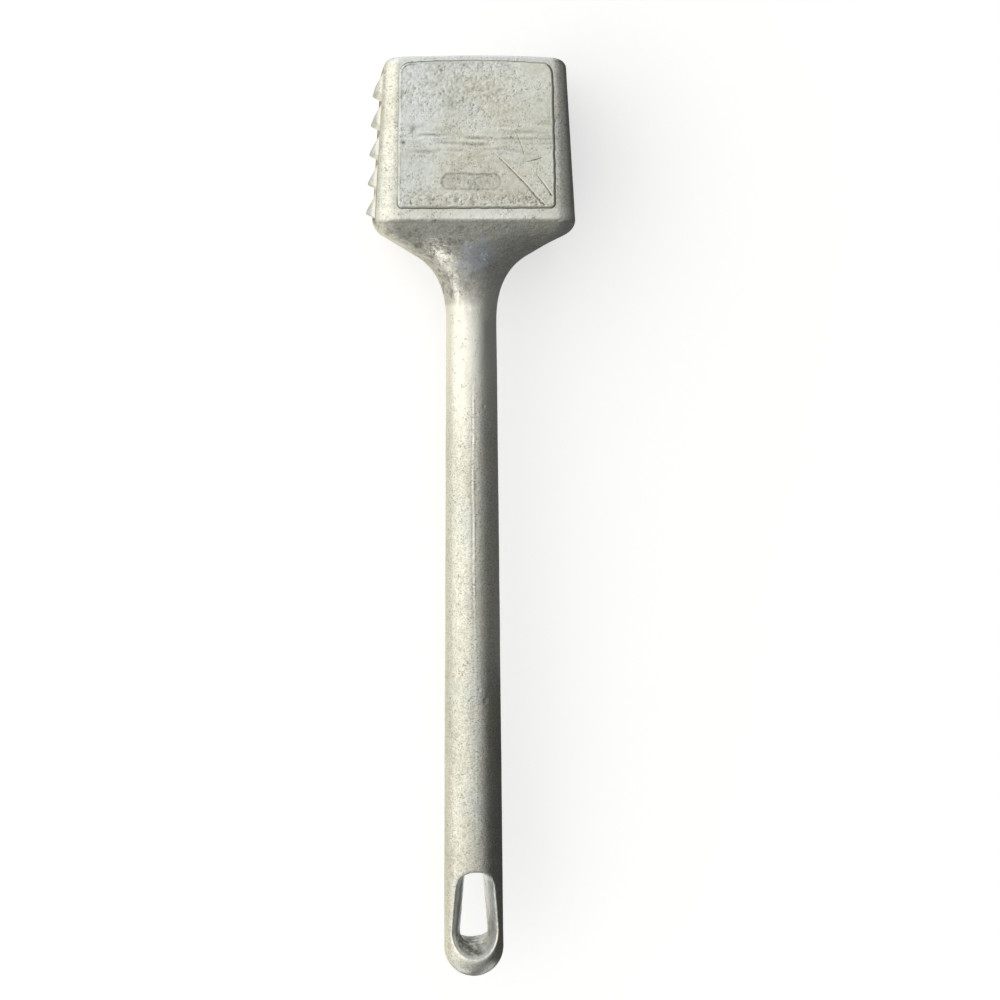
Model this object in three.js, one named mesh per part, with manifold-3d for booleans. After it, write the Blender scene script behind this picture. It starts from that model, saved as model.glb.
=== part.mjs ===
// A meat mallet cast in one piece of aluminium, lying on its rear cheek.
//
// Millimetres, +Z up. The origin is on the raised panel that the mallet lies on, at the middle of the
// head's width and height. +Y runs from there to the crown, -Y along the handle to the hanging eye,
// -X to the coarse teeth and +X to the plain striking face.
//
// The real mallet has no joints and nothing to take apart. Each mesh here is one section of the
// casting, and the sections meet face to face.

import * as THREE from "three";
import { mergeVertices } from "three/addons/utils/BufferGeometryUtils.js";
import Module from "manifold-3d";

const wasm = await Module();
wasm.setup();

// Head
const HEAD_HEIGHT = 45.2; // from the shoulder to the middle of the crown, along the handle
const CROWN_WIDTH = 50.5; // between the two striking sides, at the crown
const SHOULDER_WIDTH = 57.1; // the same, at the shoulder
const HEAD_DEPTH = 45; // from cheek to cheek, without the raised panels
const CROWN_SIDE_RADIUS = 3.8; // of the four long edges, at the crown
const SHOULDER_SIDE_RADIUS = 5.6; // of the same edges, at the shoulder
const CROWN_RISE = 0.7; // how far the middle of the crown stands over its two ends
const CROWN_END_DROP = 2.4; // height of the crown's rounded edge, at the striking sides
const CROWN_CHEEK_DROP = 1.4; // the same, at the middle of a cheek
const CROWN_END_ROUND = 3.2; // how far that edge reaches in from the striking sides
const CROWN_CHEEK_ROUND = 1.3; // how far it reaches in from the cheeks

// Raised panels on the cheeks
const PANEL_RISE = 1;
const PANEL_CROWN_WIDTH = 42.4;
const PANEL_SHOULDER_WIDTH = 44.4;
const PANEL_CROWN_MARGIN = 0.2; // from the crown's rounded edge, in the middle
const PANEL_SHOULDER_MARGIN = 3.5; // from the shoulder
const PANEL_CROWN_CORNER = 2.8;
const PANEL_SHOULDER_CORNER = 1.4;
const PANEL_BOW = 0.8; // how far the panel's edge at the crown bows up in the middle
const PANEL_BEVEL = 0.5;

// Striking faces
const FACE_SEAT = 3; // how deep a face's own solid reaches into the block, at the crown
const FACE_SHOULDER_MARGIN = 0.3;
const FACE_CROWN_MARGIN = 0.9; // from the crown's rounded edge

// Coarse teeth
const TOOTH_ROWS = 5; // along the handle
const TOOTH_COLUMNS = 4; // from cheek to cheek
const TOOTH_PITCH = 8.53; // from row to row, where the face's edge trims the row at the crown
const TOOTH_HEIGHT = 3.25;
const TOOTH_ROOT_DEPTH = 0.95; // of the valleys, below the striking side
const TOOTH_TIP = 0.6; // width of a tooth's blunt tip
const TOOTH_RAKE = 2.7; // how far the tips lean towards the handle

// Neck
const NECK_LENGTH = 29;
const SHOULDER_TURN = 2.9; // from the shoulder to the corner that the turn rounds off
const NECK_SLOPE = THREE.MathUtils.degToRad(31.2); // of the neck's underside, from level
const SLOPE_END_WIDTH = 32.2; // across the neck, where the slope starts to curve into the handle
const CHEEK_SLOPE_LENGTH = 10.4; // along the handle, of the straight slope off a cheek
const CHEEK_SLOPE_END_DEPTH = 26.6; // through the neck, where that slope starts to curve into the handle

// Handle
const HANDLE_NECK_DIAMETER = 15;
const HANDLE_END_DIAMETER = 18.8; // at the middle of the round end
const HANDLE_LENGTH = 205.2; // from the neck to the tip of the round end
const EYE_SECTION_LENGTH = 43.2; // the stretch of the handle that its eye takes up

// Hanging eye, a teardrop that widens to the tip and, from its waist, to both faces
const EYE_SMALL_DIAMETER = 6.2;
const EYE_LARGE_DIAMETER = 9;
const EYE_LENGTH = 25.4;
const EYE_TIP_WALL = 10; // from the eye's lower end to the tip of the handle
const EYE_FLARE_DEPTH = 6; // a height over the waist
const EYE_FLARE_SIDE = 3.1; // how much further out the eye's long sides are at that height
const EYE_FLARE_END = 0.8; // the same, at the eye's upper and lower end
const EYE_FLARE_POWER = 1.7; // of the height over the waist, which the flare grows with
const EYE_SMALL_END_FLARE = 0.8; // the small end's share of the flare at the sides

// Facets
const LONG_EDGE_STEPS = 6;
const STRIKING_SIDE_STEPS = 6;
const CHEEK_STEPS = 8;
const CROWN_EDGE_STEPS = 5;
const CROWN_STEPS = 4;
const CORNER_STEPS = 6;
const SHOULDER_TURN_STEPS = 5;
const NECK_CURVE_STEPS = 10;
const HANDLE_SIDES = 48;
const ROUND_END_STEPS = 9;
const EYE_ARC_STEPS = 10;
const EYE_FLARE_STEPS = 4;
const CUT_OVERRUN = 2; // how far a cutter runs on past what it cuts

// Places that follow from these sizes
const CROWN_Y = HEAD_HEIGHT / 2;
const CROWN_END_EDGE_Y = CROWN_Y - CROWN_RISE - CROWN_END_DROP;
const CROWN_CHEEK_EDGE_Y = CROWN_Y - CROWN_CHEEK_DROP;
const SHOULDER_Y = CROWN_Y - HEAD_HEIGHT;
const NECK_END_Y = SHOULDER_Y - NECK_LENGTH;
const TIP_Y = NECK_END_Y - HANDLE_LENGTH;
const EYE_SECTION_Y = TIP_Y + EYE_SECTION_LENGTH;
const ROUND_END_Y = TIP_Y + HANDLE_END_DIAMETER / 2;
const MIDDLE_Z = HEAD_DEPTH / 2 + PANEL_RISE;
const SEAT_X = CROWN_WIDTH / 2 - FACE_SEAT;
const FACE_DEPTH = HEAD_DEPTH - 2 * SHOULDER_SIDE_RADIUS;
const FACE_CROWN_Y = CROWN_END_EDGE_Y - FACE_CROWN_MARGIN;
const FACE_SHOULDER_Y = SHOULDER_Y + FACE_SHOULDER_MARGIN;

/** The value between two ends that a share from 0 to 1 gives. */
const between = THREE.MathUtils.lerp;

/** Half the head's width at a height. */
function headHalfWidth(y) {
  return between(SHOULDER_WIDTH, CROWN_WIDTH, (y - SHOULDER_Y) / HEAD_HEIGHT) / 2;
}

/** Radius of the head's long edges at a height. */
function longEdgeRadius(y) {
  return between(SHOULDER_SIDE_RADIUS, CROWN_SIDE_RADIUS, (y - SHOULDER_Y) / HEAD_HEIGHT);
}

/** The handle's radius at a height. */
function handleRadius(y) {
  const share = (NECK_END_Y - y) / (NECK_END_Y - ROUND_END_Y);
  return between(HANDLE_NECK_DIAMETER, HANDLE_END_DIAMETER, share) / 2;
}

/** A closed geometry through rings of equally many points, which run anticlockwise seen from the last. */
function loft(rings) {
  const count = rings[0].length;
  const middle = (ring) =>
    ring.reduce((sum, point) => sum.add(point), new THREE.Vector3()).divideScalar(count);
  const lastRing = (rings.length - 1) * count;
  const firstMiddle = rings.length * count;
  const lastMiddle = firstMiddle + 1;
  const index = [];
  for (let i = 0; i < count; i++) {
    const j = (i + 1) % count;
    index.push(firstMiddle, j, i);
    index.push(lastMiddle, lastRing + i, lastRing + j);
    for (let ring = 0; ring < lastRing; ring += count) {
      index.push(ring + i, ring + j, ring + count + i);
      index.push(ring + j, ring + count + j, ring + count + i);
    }
  }
  const points = [...rings.flat(), middle(rings[0]), middle(rings[rings.length - 1])];
  return new THREE.BufferGeometry().setFromPoints(points).setIndex(index);
}

/** A closed geometry as a solid that can be cut and joined. */
function solidOf(geometry) {
  const bare = geometry.clone();
  bare.deleteAttribute("normal");
  bare.deleteAttribute("uv");
  const merged = mergeVertices(bare);
  return new wasm.Manifold(
    new wasm.Mesh({
      numProp: 3,
      vertProperties: new Float32Array(merged.getAttribute("position").array),
      triVerts: new Uint32Array(merged.getIndex().array),
    }),
  );
}

/** A solid's surface as a geometry. */
function geometryOf(solid) {
  const mesh = solid.getMesh();
  return new THREE.BufferGeometry()
    .setAttribute("position", new THREE.BufferAttribute(mesh.vertProperties, 3))
    .setIndex(new THREE.BufferAttribute(mesh.triVerts, 1));
}

/** Points of a rounded rectangle, anticlockwise, with steps along its straight sides too. */
function roundedRectangle(halfWidth, halfDepth, radius) {
  const arcs = [
    [1, 1],
    [-1, 1],
    [-1, -1],
    [1, -1],
  ].map(([across, along], corner) => {
    const middle = new THREE.Vector2(across * (halfWidth - radius), along * (halfDepth - radius));
    return Array.from({ length: LONG_EDGE_STEPS + 1 }, (_, step) => {
      const angle = ((corner + step / LONG_EDGE_STEPS) * Math.PI) / 2;
      return new THREE.Vector2(Math.cos(angle), Math.sin(angle)).multiplyScalar(radius).add(middle);
    });
  });
  const points = [];
  arcs.forEach((arc, corner) => {
    const steps = corner % 2 === 0 ? CHEEK_STEPS : STRIKING_SIDE_STEPS;
    const start = arc[LONG_EDGE_STEPS];
    const end = arcs[(corner + 1) % arcs.length][0];
    points.push(...arc);
    for (let step = 1; step < steps; step++) {
      points.push(start.clone().lerp(end, step / steps));
    }
  });
  return points;
}

/** A level ring across the mallet, from points whose y is its depth. */
function levelRing(points, y) {
  return points.map((point) => new THREE.Vector3(point.x, y, -point.y));
}

/** The outline that the block and the neck share at the shoulder. */
function shoulderOutline() {
  return roundedRectangle(SHOULDER_WIDTH / 2, HEAD_DEPTH / 2, SHOULDER_SIDE_RADIUS);
}

/** The block before its faces are let in: sides that taper to a crown with rounded edges. */
function wholeBlock() {
  const ringAt = (turnShare, reachShare) => {
    const angle = (turnShare * Math.PI) / 2;
    const endY = CROWN_END_EDGE_Y + CROWN_END_DROP * Math.sin(angle);
    const cheekY = CROWN_CHEEK_EDGE_Y + CROWN_CHEEK_DROP * Math.sin(angle);
    const cheekRound = CROWN_CHEEK_ROUND * (1 - Math.cos(angle));
    const outline = roundedRectangle(
      headHalfWidth(endY) - CROWN_END_ROUND * (1 - Math.cos(angle)),
      HEAD_DEPTH / 2 - cheekRound,
      longEdgeRadius(endY) - cheekRound,
    );
    return levelRing(outline, endY).map((point) => {
      const reached = new THREE.Vector3(point.x * reachShare, endY, point.z * reachShare);
      return reached.setY(between(cheekY, endY, (reached.x / headHalfWidth(endY)) ** 2));
    });
  };
  const rings = [levelRing(shoulderOutline(), SHOULDER_Y)];
  for (let step = 0; step <= CROWN_EDGE_STEPS; step++) {
    rings.push(ringAt(step / CROWN_EDGE_STEPS, 1));
  }
  for (let step = CROWN_STEPS - 1; step > 0; step--) {
    rings.push(ringAt(1, step / CROWN_STEPS));
  }
  return loft(rings);
}

/** A prism over a striking face, from its seat in the block to a distance that depends on y. */
function facePrism(side, distanceAt) {
  const corners = [
    [FACE_SHOULDER_Y, -FACE_DEPTH / 2],
    [FACE_CROWN_Y, -FACE_DEPTH / 2],
    [FACE_CROWN_Y, FACE_DEPTH / 2],
    [FACE_SHOULDER_Y, FACE_DEPTH / 2],
  ];
  const ring = (distance) => corners.map(([y, z]) => new THREE.Vector3(side * distance(y), y, side * z));
  return loft([ring(() => SEAT_X), ring(distanceAt)]);
}

/** The head block, with a seat for each striking face. */
function headBlock() {
  const clearOfSide = () => SHOULDER_WIDTH / 2 + CUT_OVERRUN;
  return geometryOf(
    solidOf(wholeBlock())
      .subtract(solidOf(facePrism(-1, clearOfSide)))
      .subtract(solidOf(facePrism(1, clearOfSide))),
  );
}

/** The striking face with the coarse teeth: rows of blunt pyramids whose tips lean to the handle. */
function coarseToothFace() {
  const columnPitch = FACE_DEPTH / TOOTH_COLUMNS;
  const rootX = (y) => headHalfWidth(y) - TOOTH_ROOT_DEPTH;
  const clearOfTips = (y) => rootX(y) + TOOTH_HEIGHT + CUT_OVERRUN;
  let face = solidOf(facePrism(-1, rootX));
  for (let row = 0; row < TOOTH_ROWS; row++) {
    for (let column = 0; column < TOOTH_COLUMNS; column++) {
      const y = FACE_SHOULDER_Y + (row + 1 / 2) * TOOTH_PITCH;
      const z = (column + 1 / 2) * columnPitch - FACE_DEPTH / 2;
      const tipX = rootX(y) + TOOTH_HEIGHT;
      const ring = (middleY, height, depth, distanceAt) =>
        [
          [-1, 1],
          [1, 1],
          [1, -1],
          [-1, -1],
        ].map(([along, across]) => {
          const pointY = middleY + (along * height) / 2;
          return new THREE.Vector3(-distanceAt(pointY), pointY, z + (across * depth) / 2);
        });
      const tooth = loft([
        ring(y, TOOTH_PITCH, columnPitch, () => SEAT_X),
        ring(y, TOOTH_PITCH, columnPitch, rootX),
        ring(y - TOOTH_RAKE, TOOTH_TIP, TOOTH_TIP, () => tipX),
      ]);
      face = face.add(solidOf(tooth));
    }
  }
  return geometryOf(face.intersect(solidOf(facePrism(-1, clearOfTips))));
}

/** The plain striking face, flush with the block's side. */
function plainStrikingFace() {
  return facePrism(1, headHalfWidth);
}

/** The outline of a cheek's raised panel, drawn in by an inset. */
function panelOutline(inset) {
  const crownY = CROWN_CHEEK_EDGE_Y - PANEL_CROWN_MARGIN - PANEL_BOW - inset;
  const shoulderY = SHOULDER_Y + PANEL_SHOULDER_MARGIN + inset;
  const crownX = PANEL_CROWN_WIDTH / 2 - inset;
  const shoulderX = PANEL_SHOULDER_WIDTH / 2 - inset;
  const shape = new THREE.Shape();
  shape.moveTo(shoulderX, shoulderY + PANEL_SHOULDER_CORNER);
  shape.lineTo(crownX, crownY - PANEL_CROWN_CORNER);
  shape.quadraticCurveTo(crownX, crownY, crownX - PANEL_CROWN_CORNER, crownY);
  shape.quadraticCurveTo(0, crownY + 2 * PANEL_BOW, PANEL_CROWN_CORNER - crownX, crownY);
  shape.quadraticCurveTo(-crownX, crownY, -crownX, crownY - PANEL_CROWN_CORNER);
  shape.lineTo(-shoulderX, shoulderY + PANEL_SHOULDER_CORNER);
  shape.quadraticCurveTo(-shoulderX, shoulderY, PANEL_SHOULDER_CORNER - shoulderX, shoulderY);
  shape.lineTo(shoulderX - PANEL_SHOULDER_CORNER, shoulderY);
  shape.quadraticCurveTo(shoulderX, shoulderY, shoulderX, shoulderY + PANEL_SHOULDER_CORNER);
  return shape.getPoints(CORNER_STEPS).slice(1);
}

/** A cheek's raised panel, its back at zero and its bevelled face at +Z. */
function cheekPanel() {
  const ring = (inset, z) => panelOutline(inset).map((point) => new THREE.Vector3(point.x, point.y, z));
  return loft([ring(0, 0), ring(0, PANEL_RISE - PANEL_BEVEL), ring(PANEL_BEVEL, PANEL_RISE)]);
}

/** Half the neck's depth at a height: a straight slope off the cheek, then a curve into the handle. */
function neckHalfDepth(y) {
  const cheekZ = HEAD_DEPTH / 2;
  const slopeEndZ = CHEEK_SLOPE_END_DEPTH / 2;
  const handleZ = HANDLE_NECK_DIAMETER / 2;
  const slopeShare = (SHOULDER_Y - y) / CHEEK_SLOPE_LENGTH;
  if (slopeShare < 1) {
    return between(cheekZ, slopeEndZ, slopeShare);
  }
  const curveLength = NECK_LENGTH - CHEEK_SLOPE_LENGTH;
  const slope = (cheekZ - slopeEndZ) / CHEEK_SLOPE_LENGTH;
  const fall = (slope * curveLength) / (slopeEndZ - handleZ);
  return handleZ + (slopeEndZ - handleZ) * ((y - NECK_END_Y) / curveLength) ** fall;
}

/** The neck: from the block's outline at the shoulder, down a slope, into the round handle. */
function neck() {
  const shoulderX = SHOULDER_WIDTH / 2;
  const slopeEndX = SLOPE_END_WIDTH / 2;
  const handleX = HANDLE_NECK_DIAMETER / 2;
  const cornerY = SHOULDER_Y - SHOULDER_TURN;
  const slopePoint = (x) => new THREE.Vector2(x, cornerY - (shoulderX - x) * Math.tan(NECK_SLOPE));
  const turn = new THREE.QuadraticBezierCurve(
    new THREE.Vector2(shoulderX, SHOULDER_Y),
    new THREE.Vector2(shoulderX, cornerY),
    slopePoint(shoulderX - SHOULDER_TURN * Math.cos(NECK_SLOPE)),
  );
  const curve = new THREE.QuadraticBezierCurve(
    slopePoint(slopeEndX),
    slopePoint(handleX),
    new THREE.Vector2(handleX, NECK_END_Y),
  );
  const profile = [...turn.getPoints(SHOULDER_TURN_STEPS), ...curve.getPoints(NECK_CURVE_STEPS)];
  const shoulder = new THREE.Vector2(shoulderX, HEAD_DEPTH / 2);
  const rings = profile.reverse().map(({ x, y }) => {
    const blockShare = (x - handleX) / (shoulderX - handleX);
    const reach = new THREE.Vector2(x, neckHalfDepth(y));
    const points = shoulderOutline().map((point) => {
      const square = point.divide(shoulder);
      const round = square.clone().normalize();
      return round.lerp(square, blockShare).multiply(reach);
    });
    return levelRing(points, y);
  });
  return loft(rings);
}

/** The handle's shank, between the neck and the stretch with the eye. */
function handleShank() {
  const profile = [
    new THREE.Vector2(0, EYE_SECTION_Y),
    new THREE.Vector2(handleRadius(EYE_SECTION_Y), EYE_SECTION_Y),
    new THREE.Vector2(handleRadius(NECK_END_Y), NECK_END_Y),
    new THREE.Vector2(0, NECK_END_Y),
  ];
  return new THREE.LatheGeometry(profile, HANDLE_SIDES);
}

/** A teardrop ring of the eye at a height over its waist, anticlockwise seen from above. */
function eyeRing(z) {
  const flareShare = (Math.abs(z) / EYE_FLARE_DEPTH) ** EYE_FLARE_POWER;
  const side = EYE_FLARE_SIDE * flareShare;
  const end = EYE_FLARE_END * flareShare;
  const lowRadius = EYE_LARGE_DIAMETER / 2 + side;
  const highRadius = EYE_SMALL_DIAMETER / 2 + EYE_SMALL_END_FLARE * side;
  const lowY = TIP_Y + EYE_TIP_WALL - end + lowRadius;
  const highY = TIP_Y + EYE_TIP_WALL + EYE_LENGTH + end - highRadius;
  const lean = Math.asin((lowRadius - highRadius) / (highY - lowY));
  const arc = (middleY, radius, from, to) =>
    Array.from({ length: EYE_ARC_STEPS + 1 }, (_, step) => {
      const angle = between(from, to, step / EYE_ARC_STEPS);
      return new THREE.Vector3(radius * Math.cos(angle), middleY + radius * Math.sin(angle), z);
    });
  return [
    ...arc(highY, highRadius, lean, Math.PI - lean),
    ...arc(lowY, lowRadius, Math.PI - lean, 2 * Math.PI + lean),
  ];
}

/** The end of the handle with its hanging eye. */
function hangingEye() {
  const radius = HANDLE_END_DIAMETER / 2;
  const profile = [];
  for (let step = 0; step <= ROUND_END_STEPS; step++) {
    const angle = ((step / ROUND_END_STEPS - 1) * Math.PI) / 2;
    profile.push(new THREE.Vector2(radius * Math.cos(angle), ROUND_END_Y + radius * Math.sin(angle)));
  }
  profile[0].x = 0;
  profile.push(new THREE.Vector2(handleRadius(EYE_SECTION_Y), EYE_SECTION_Y));
  profile.push(new THREE.Vector2(0, EYE_SECTION_Y));
  const rings = [];
  for (let step = -EYE_FLARE_STEPS; step <= EYE_FLARE_STEPS; step++) {
    rings.push(eyeRing(((radius + CUT_OVERRUN) * step) / EYE_FLARE_STEPS));
  }
  const handleEnd = solidOf(new THREE.LatheGeometry(profile, HANDLE_SIDES));
  return geometryOf(handleEnd.subtract(solidOf(loft(rings))));
}

/** Aluminium as it came from the mould and wore since, with the colour and shine of one place. */
function aluminium(color, roughness) {
  return new THREE.MeshStandardMaterial({ color, roughness, metalness: 1, flatShading: true });
}

/** One section of the casting, as a named mesh. */
function section(name, geometry, material) {
  const mesh = new THREE.Mesh(geometry, material);
  mesh.name = name;
  return mesh;
}

const castSkin = aluminium("#a9a89f", 0.46);
const wornPanel = aluminium("#9c9d93", 0.4);
const strikingSkin = aluminium("#b4b3ab", 0.38);
const handRubbed = aluminium("#a6a59b", 0.32);

const frontPanel = section("front_cheek_panel", cheekPanel(), wornPanel);
frontPanel.position.z = HEAD_DEPTH / 2;

const rearPanel = section("rear_cheek_panel", cheekPanel(), wornPanel);
rearPanel.rotation.y = Math.PI;
rearPanel.position.z = -HEAD_DEPTH / 2;

const mallet = new THREE.Group();
mallet.position.z = MIDDLE_Z;
mallet.add(
  section("head_block", headBlock(), castSkin),
  section("coarse_tooth_face", coarseToothFace(), strikingSkin),
  section("plain_striking_face", plainStrikingFace(), strikingSkin),
  frontPanel,
  rearPanel,
  section("neck", neck(), castSkin),
  section("handle_shank", handleShank(), handRubbed),
  section("hanging_eye", hangingEye(), handRubbed),
);

export default mallet;
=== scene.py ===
"""A meat mallet cast in one piece of aluminium, dressed section by section.

Lengths are in metres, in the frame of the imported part: +Y runs from the middle of the head to the
crown and -Y along the handle, -X to the coarse teeth, +X to the plain striking face, and +Z out of
the front cheek. The mallet lies on its rear cheek, at a height of zero.
"""

from __future__ import annotations

import logging
import math
from dataclasses import dataclass
from enum import Enum
from itertools import product

import bmesh
import bpy
import numpy as np
from mathutils import Matrix, Vector


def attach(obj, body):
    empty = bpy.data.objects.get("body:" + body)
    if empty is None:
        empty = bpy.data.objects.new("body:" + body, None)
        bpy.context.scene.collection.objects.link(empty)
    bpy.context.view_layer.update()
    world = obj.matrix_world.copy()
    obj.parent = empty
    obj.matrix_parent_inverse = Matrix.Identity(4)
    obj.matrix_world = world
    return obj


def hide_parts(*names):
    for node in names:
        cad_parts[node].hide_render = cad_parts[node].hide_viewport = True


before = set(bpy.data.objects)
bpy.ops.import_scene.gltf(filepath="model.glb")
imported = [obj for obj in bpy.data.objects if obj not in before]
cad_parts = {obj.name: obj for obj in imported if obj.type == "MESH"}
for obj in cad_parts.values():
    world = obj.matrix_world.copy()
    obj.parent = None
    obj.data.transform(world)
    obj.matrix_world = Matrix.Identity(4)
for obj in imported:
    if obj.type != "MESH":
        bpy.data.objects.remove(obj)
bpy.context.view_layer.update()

LOG = logging.getLogger("meat_mallet")
BODY = "root"
MM = 0.001

HASH_STEPS = np.array([73856093, 19349663, 83492791], dtype=np.uint64)
SEED_STEP = 9781
MIX_ROUNDS = ((15, 2246822519), (13, 3266489917))
MIX_END = 16
DRAW_MASK = 0xFFFFF
LATTICE_SHIFT = 4096.0
PIT_WANDER = 0.7
PIT_RADIUS_SHARE = 0.16
PIT_RADIUS_SPREAD = 0.3

Array = np.ndarray
Colour = tuple[float, float, float]
Cell = float | tuple[float, float, float]
Span = tuple[float, float]


class Slot(Enum):
    """The material slots that the finishes fill."""

    CAST_SKIN = "cast_skin"
    WORN_PANEL = "worn_panel"
    STRIKING_SKIN = "striking_skin"
    HAND_RUBBED = "hand_rubbed"


class Cheek(Enum):
    """The two broad sides of the head, as the sign of their direction along Z."""

    FRONT = 1
    REAR = -1


def smooth_step(value: Array, low: float, high: float) -> Array:
    """Eases from 0 at low to 1 at high.

    Args:
        value: the values to ease.
        low: where the step starts.
        high: where it ends, which may lie under low.

    Returns:
        The eased shares.
    """
    share = np.clip((value - low) / (high - low), 0, 1)
    return share * share * (3 - 2 * share)


def bump(distance: Array, width: float) -> Array:
    """A rounded bump of height 1, which falls off over a width to either side."""
    return np.exp(-((distance / width) ** 2))


def lattice_draw(lattice: Array, seed: int) -> Array:
    """Draws one number from 0 to 1 for every whole-numbered place.

    Args:
        lattice: places, one row of three whole numbers each.
        seed: which of the many draws to take.

    Returns:
        One number for each row.
    """
    key = (lattice.astype(np.uint64) * HASH_STEPS).sum(axis=1) + np.uint64(seed * SEED_STEP)
    for shift, factor in MIX_ROUNDS:
        key ^= key >> np.uint64(shift)
        key *= np.uint64(factor)
    key ^= key >> np.uint64(MIX_END)
    return (key & np.uint64(DRAW_MASK)).astype(float) / DRAW_MASK


def soft_noise(points: Array, cell: Cell, seed: int) -> Array:
    """Smooth noise in space.

    Args:
        points: places, one row each.
        cell: size of its swells, or their sizes along X, Y and Z.
        seed: which of the many noises to take.

    Returns:
        Values from -1 to 1, one for each place.
    """
    place = points / np.asarray(cell) + LATTICE_SHIFT
    base = np.floor(place)
    part = place - base
    ease = part * part * (3 - 2 * part)
    total = np.zeros(len(points))
    for corner in product((0, 1), repeat=3):
        weight = np.where(np.array(corner, dtype=bool), ease, 1 - ease).prod(axis=1)
        total += weight * lattice_draw(base + corner, seed)
    return 2 * total - 1


def pit_depth(points: Array, cell: float, share: Array | float, seed: int) -> Array:
    """Round pits scattered in space.

    Args:
        points: places, one row each.
        cell: size of the cells that hold at most one pit each.
        share: share of the cells with a pit, for all places or for each.
        seed: which of the many patterns to take.

    Returns:
        Depths from 0 to 1, one for each place.
    """
    place = points / cell + LATTICE_SHIFT
    base = np.floor(place)
    depth = np.zeros(len(points))
    for step in product((-1, 0, 1), repeat=3):
        lattice = base + step
        centre = lattice + 0.5
        for axis in range(3):
            centre[:, axis] += PIT_WANDER * (lattice_draw(lattice, seed + 1 + axis) - 0.5)
        radius = PIT_RADIUS_SHARE + PIT_RADIUS_SPREAD * lattice_draw(lattice, seed + 4) ** 2
        reach = np.linalg.norm(place - centre, axis=1) / radius
        here = lattice_draw(lattice, seed) < share
        depth = np.maximum(depth, np.where(here, np.clip(1 - reach**2, 0, 1), 0))
    return depth


@dataclass(frozen=True)
class Ease:
    """An easing from 0 at one value to 1 at another, which may lie under it."""

    low: float
    high: float

    def at(self, values: Array) -> Array:
        """The eased shares."""
        return smooth_step(values, self.low, self.high)


def ease_mm(low: float, high: float) -> Ease:
    """An easing between two lengths in millimetres."""
    return Ease(low * MM, high * MM)


@dataclass(frozen=True)
class Grain:
    """Noises laid over each other, each given by its height, its size and its seed."""

    layers: tuple[tuple[float, Cell, int], ...]

    def at(self, points: Array) -> Array:
        """The grain's value at each place."""
        total = np.zeros(len(points))
        for height, cell, seed in self.layers:
            total += height * soft_noise(points, cell, seed)
        return total


@dataclass(frozen=True)
class MalletForm:
    """The driving sizes of the casting, and the places that follow from them."""

    head_height: float = 45.2 * MM
    crown_width: float = 50.5 * MM
    shoulder_width: float = 57.1 * MM
    head_depth: float = 45.0 * MM
    crown_side_radius: float = 3.8 * MM
    shoulder_side_radius: float = 5.6 * MM
    crown_rise: float = 0.7 * MM
    crown_end_drop: float = 2.4 * MM
    crown_cheek_drop: float = 1.4 * MM
    crown_end_round: float = 3.2 * MM
    crown_cheek_round: float = 1.3 * MM
    panel_rise: float = 1.0 * MM
    neck_length: float = 29.0 * MM
    shoulder_turn: float = 2.9 * MM
    neck_slope: float = math.radians(31.2)
    slope_end_width: float = 32.2 * MM
    cheek_slope_length: float = 10.4 * MM
    cheek_slope_end_depth: float = 26.6 * MM
    handle_neck_diameter: float = 15.0 * MM
    handle_end_diameter: float = 18.8 * MM
    handle_length: float = 205.2 * MM
    eye_section_length: float = 43.2 * MM
    face_shoulder_margin: float = 0.3 * MM
    face_crown_margin: float = 0.9 * MM

    @property
    def crown_y(self) -> float:
        """Height of the middle of the crown."""
        return self.head_height / 2

    @property
    def end_edge_y(self) -> float:
        """Where the crown's rounded edge starts, at the striking sides."""
        return self.crown_y - self.crown_rise - self.crown_end_drop

    @property
    def cheek_edge_y(self) -> float:
        """Where the crown's rounded edge starts, at the middle of a cheek."""
        return self.crown_y - self.crown_cheek_drop

    @property
    def shoulder_y(self) -> float:
        """Height of the shoulder, where the neck starts."""
        return self.crown_y - self.head_height

    @property
    def neck_end_y(self) -> float:
        """Height where the neck has turned into the handle."""
        return self.shoulder_y - self.neck_length

    @property
    def tip_y(self) -> float:
        """Height of the handle's round tip."""
        return self.neck_end_y - self.handle_length

    @property
    def eye_section_y(self) -> float:
        """Height where the stretch with the hanging eye starts."""
        return self.tip_y + self.eye_section_length

    @property
    def round_end_y(self) -> float:
        """Height of the middle of the handle's round end."""
        return self.tip_y + self.handle_end_diameter / 2

    @property
    def middle_z(self) -> float:
        """Height of the plane halfway between the cheeks."""
        return self.head_depth / 2 + self.panel_rise

    @property
    def face_depth(self) -> float:
        """Depth of a striking face, between the head's rounded long edges."""
        return self.head_depth - 2 * self.shoulder_side_radius

    @property
    def face_low_y(self) -> float:
        """Height of a striking face's edge at the shoulder."""
        return self.shoulder_y + self.face_shoulder_margin

    @property
    def face_high_y(self) -> float:
        """Height of a striking face's edge at the crown."""
        return self.end_edge_y - self.face_crown_margin

    def head_half_width(self, y: Array | float) -> Array | float:
        """Half the head's width at a height."""
        share = (y - self.shoulder_y) / self.head_height
        return (self.shoulder_width + (self.crown_width - self.shoulder_width) * share) / 2

    def long_edge_radius(self, y: Array | float) -> Array | float:
        """Radius of the head's long edges at a height."""
        share = (y - self.shoulder_y) / self.head_height
        return self.shoulder_side_radius + (self.crown_side_radius - self.shoulder_side_radius) * share

    def handle_radius(self, y: Array | float) -> Array | float:
        """The handle's radius at a height."""
        share = (self.neck_end_y - y) / (self.neck_end_y - self.round_end_y)
        growth = self.handle_end_diameter - self.handle_neck_diameter
        return (self.handle_neck_diameter + growth * share) / 2


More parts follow.
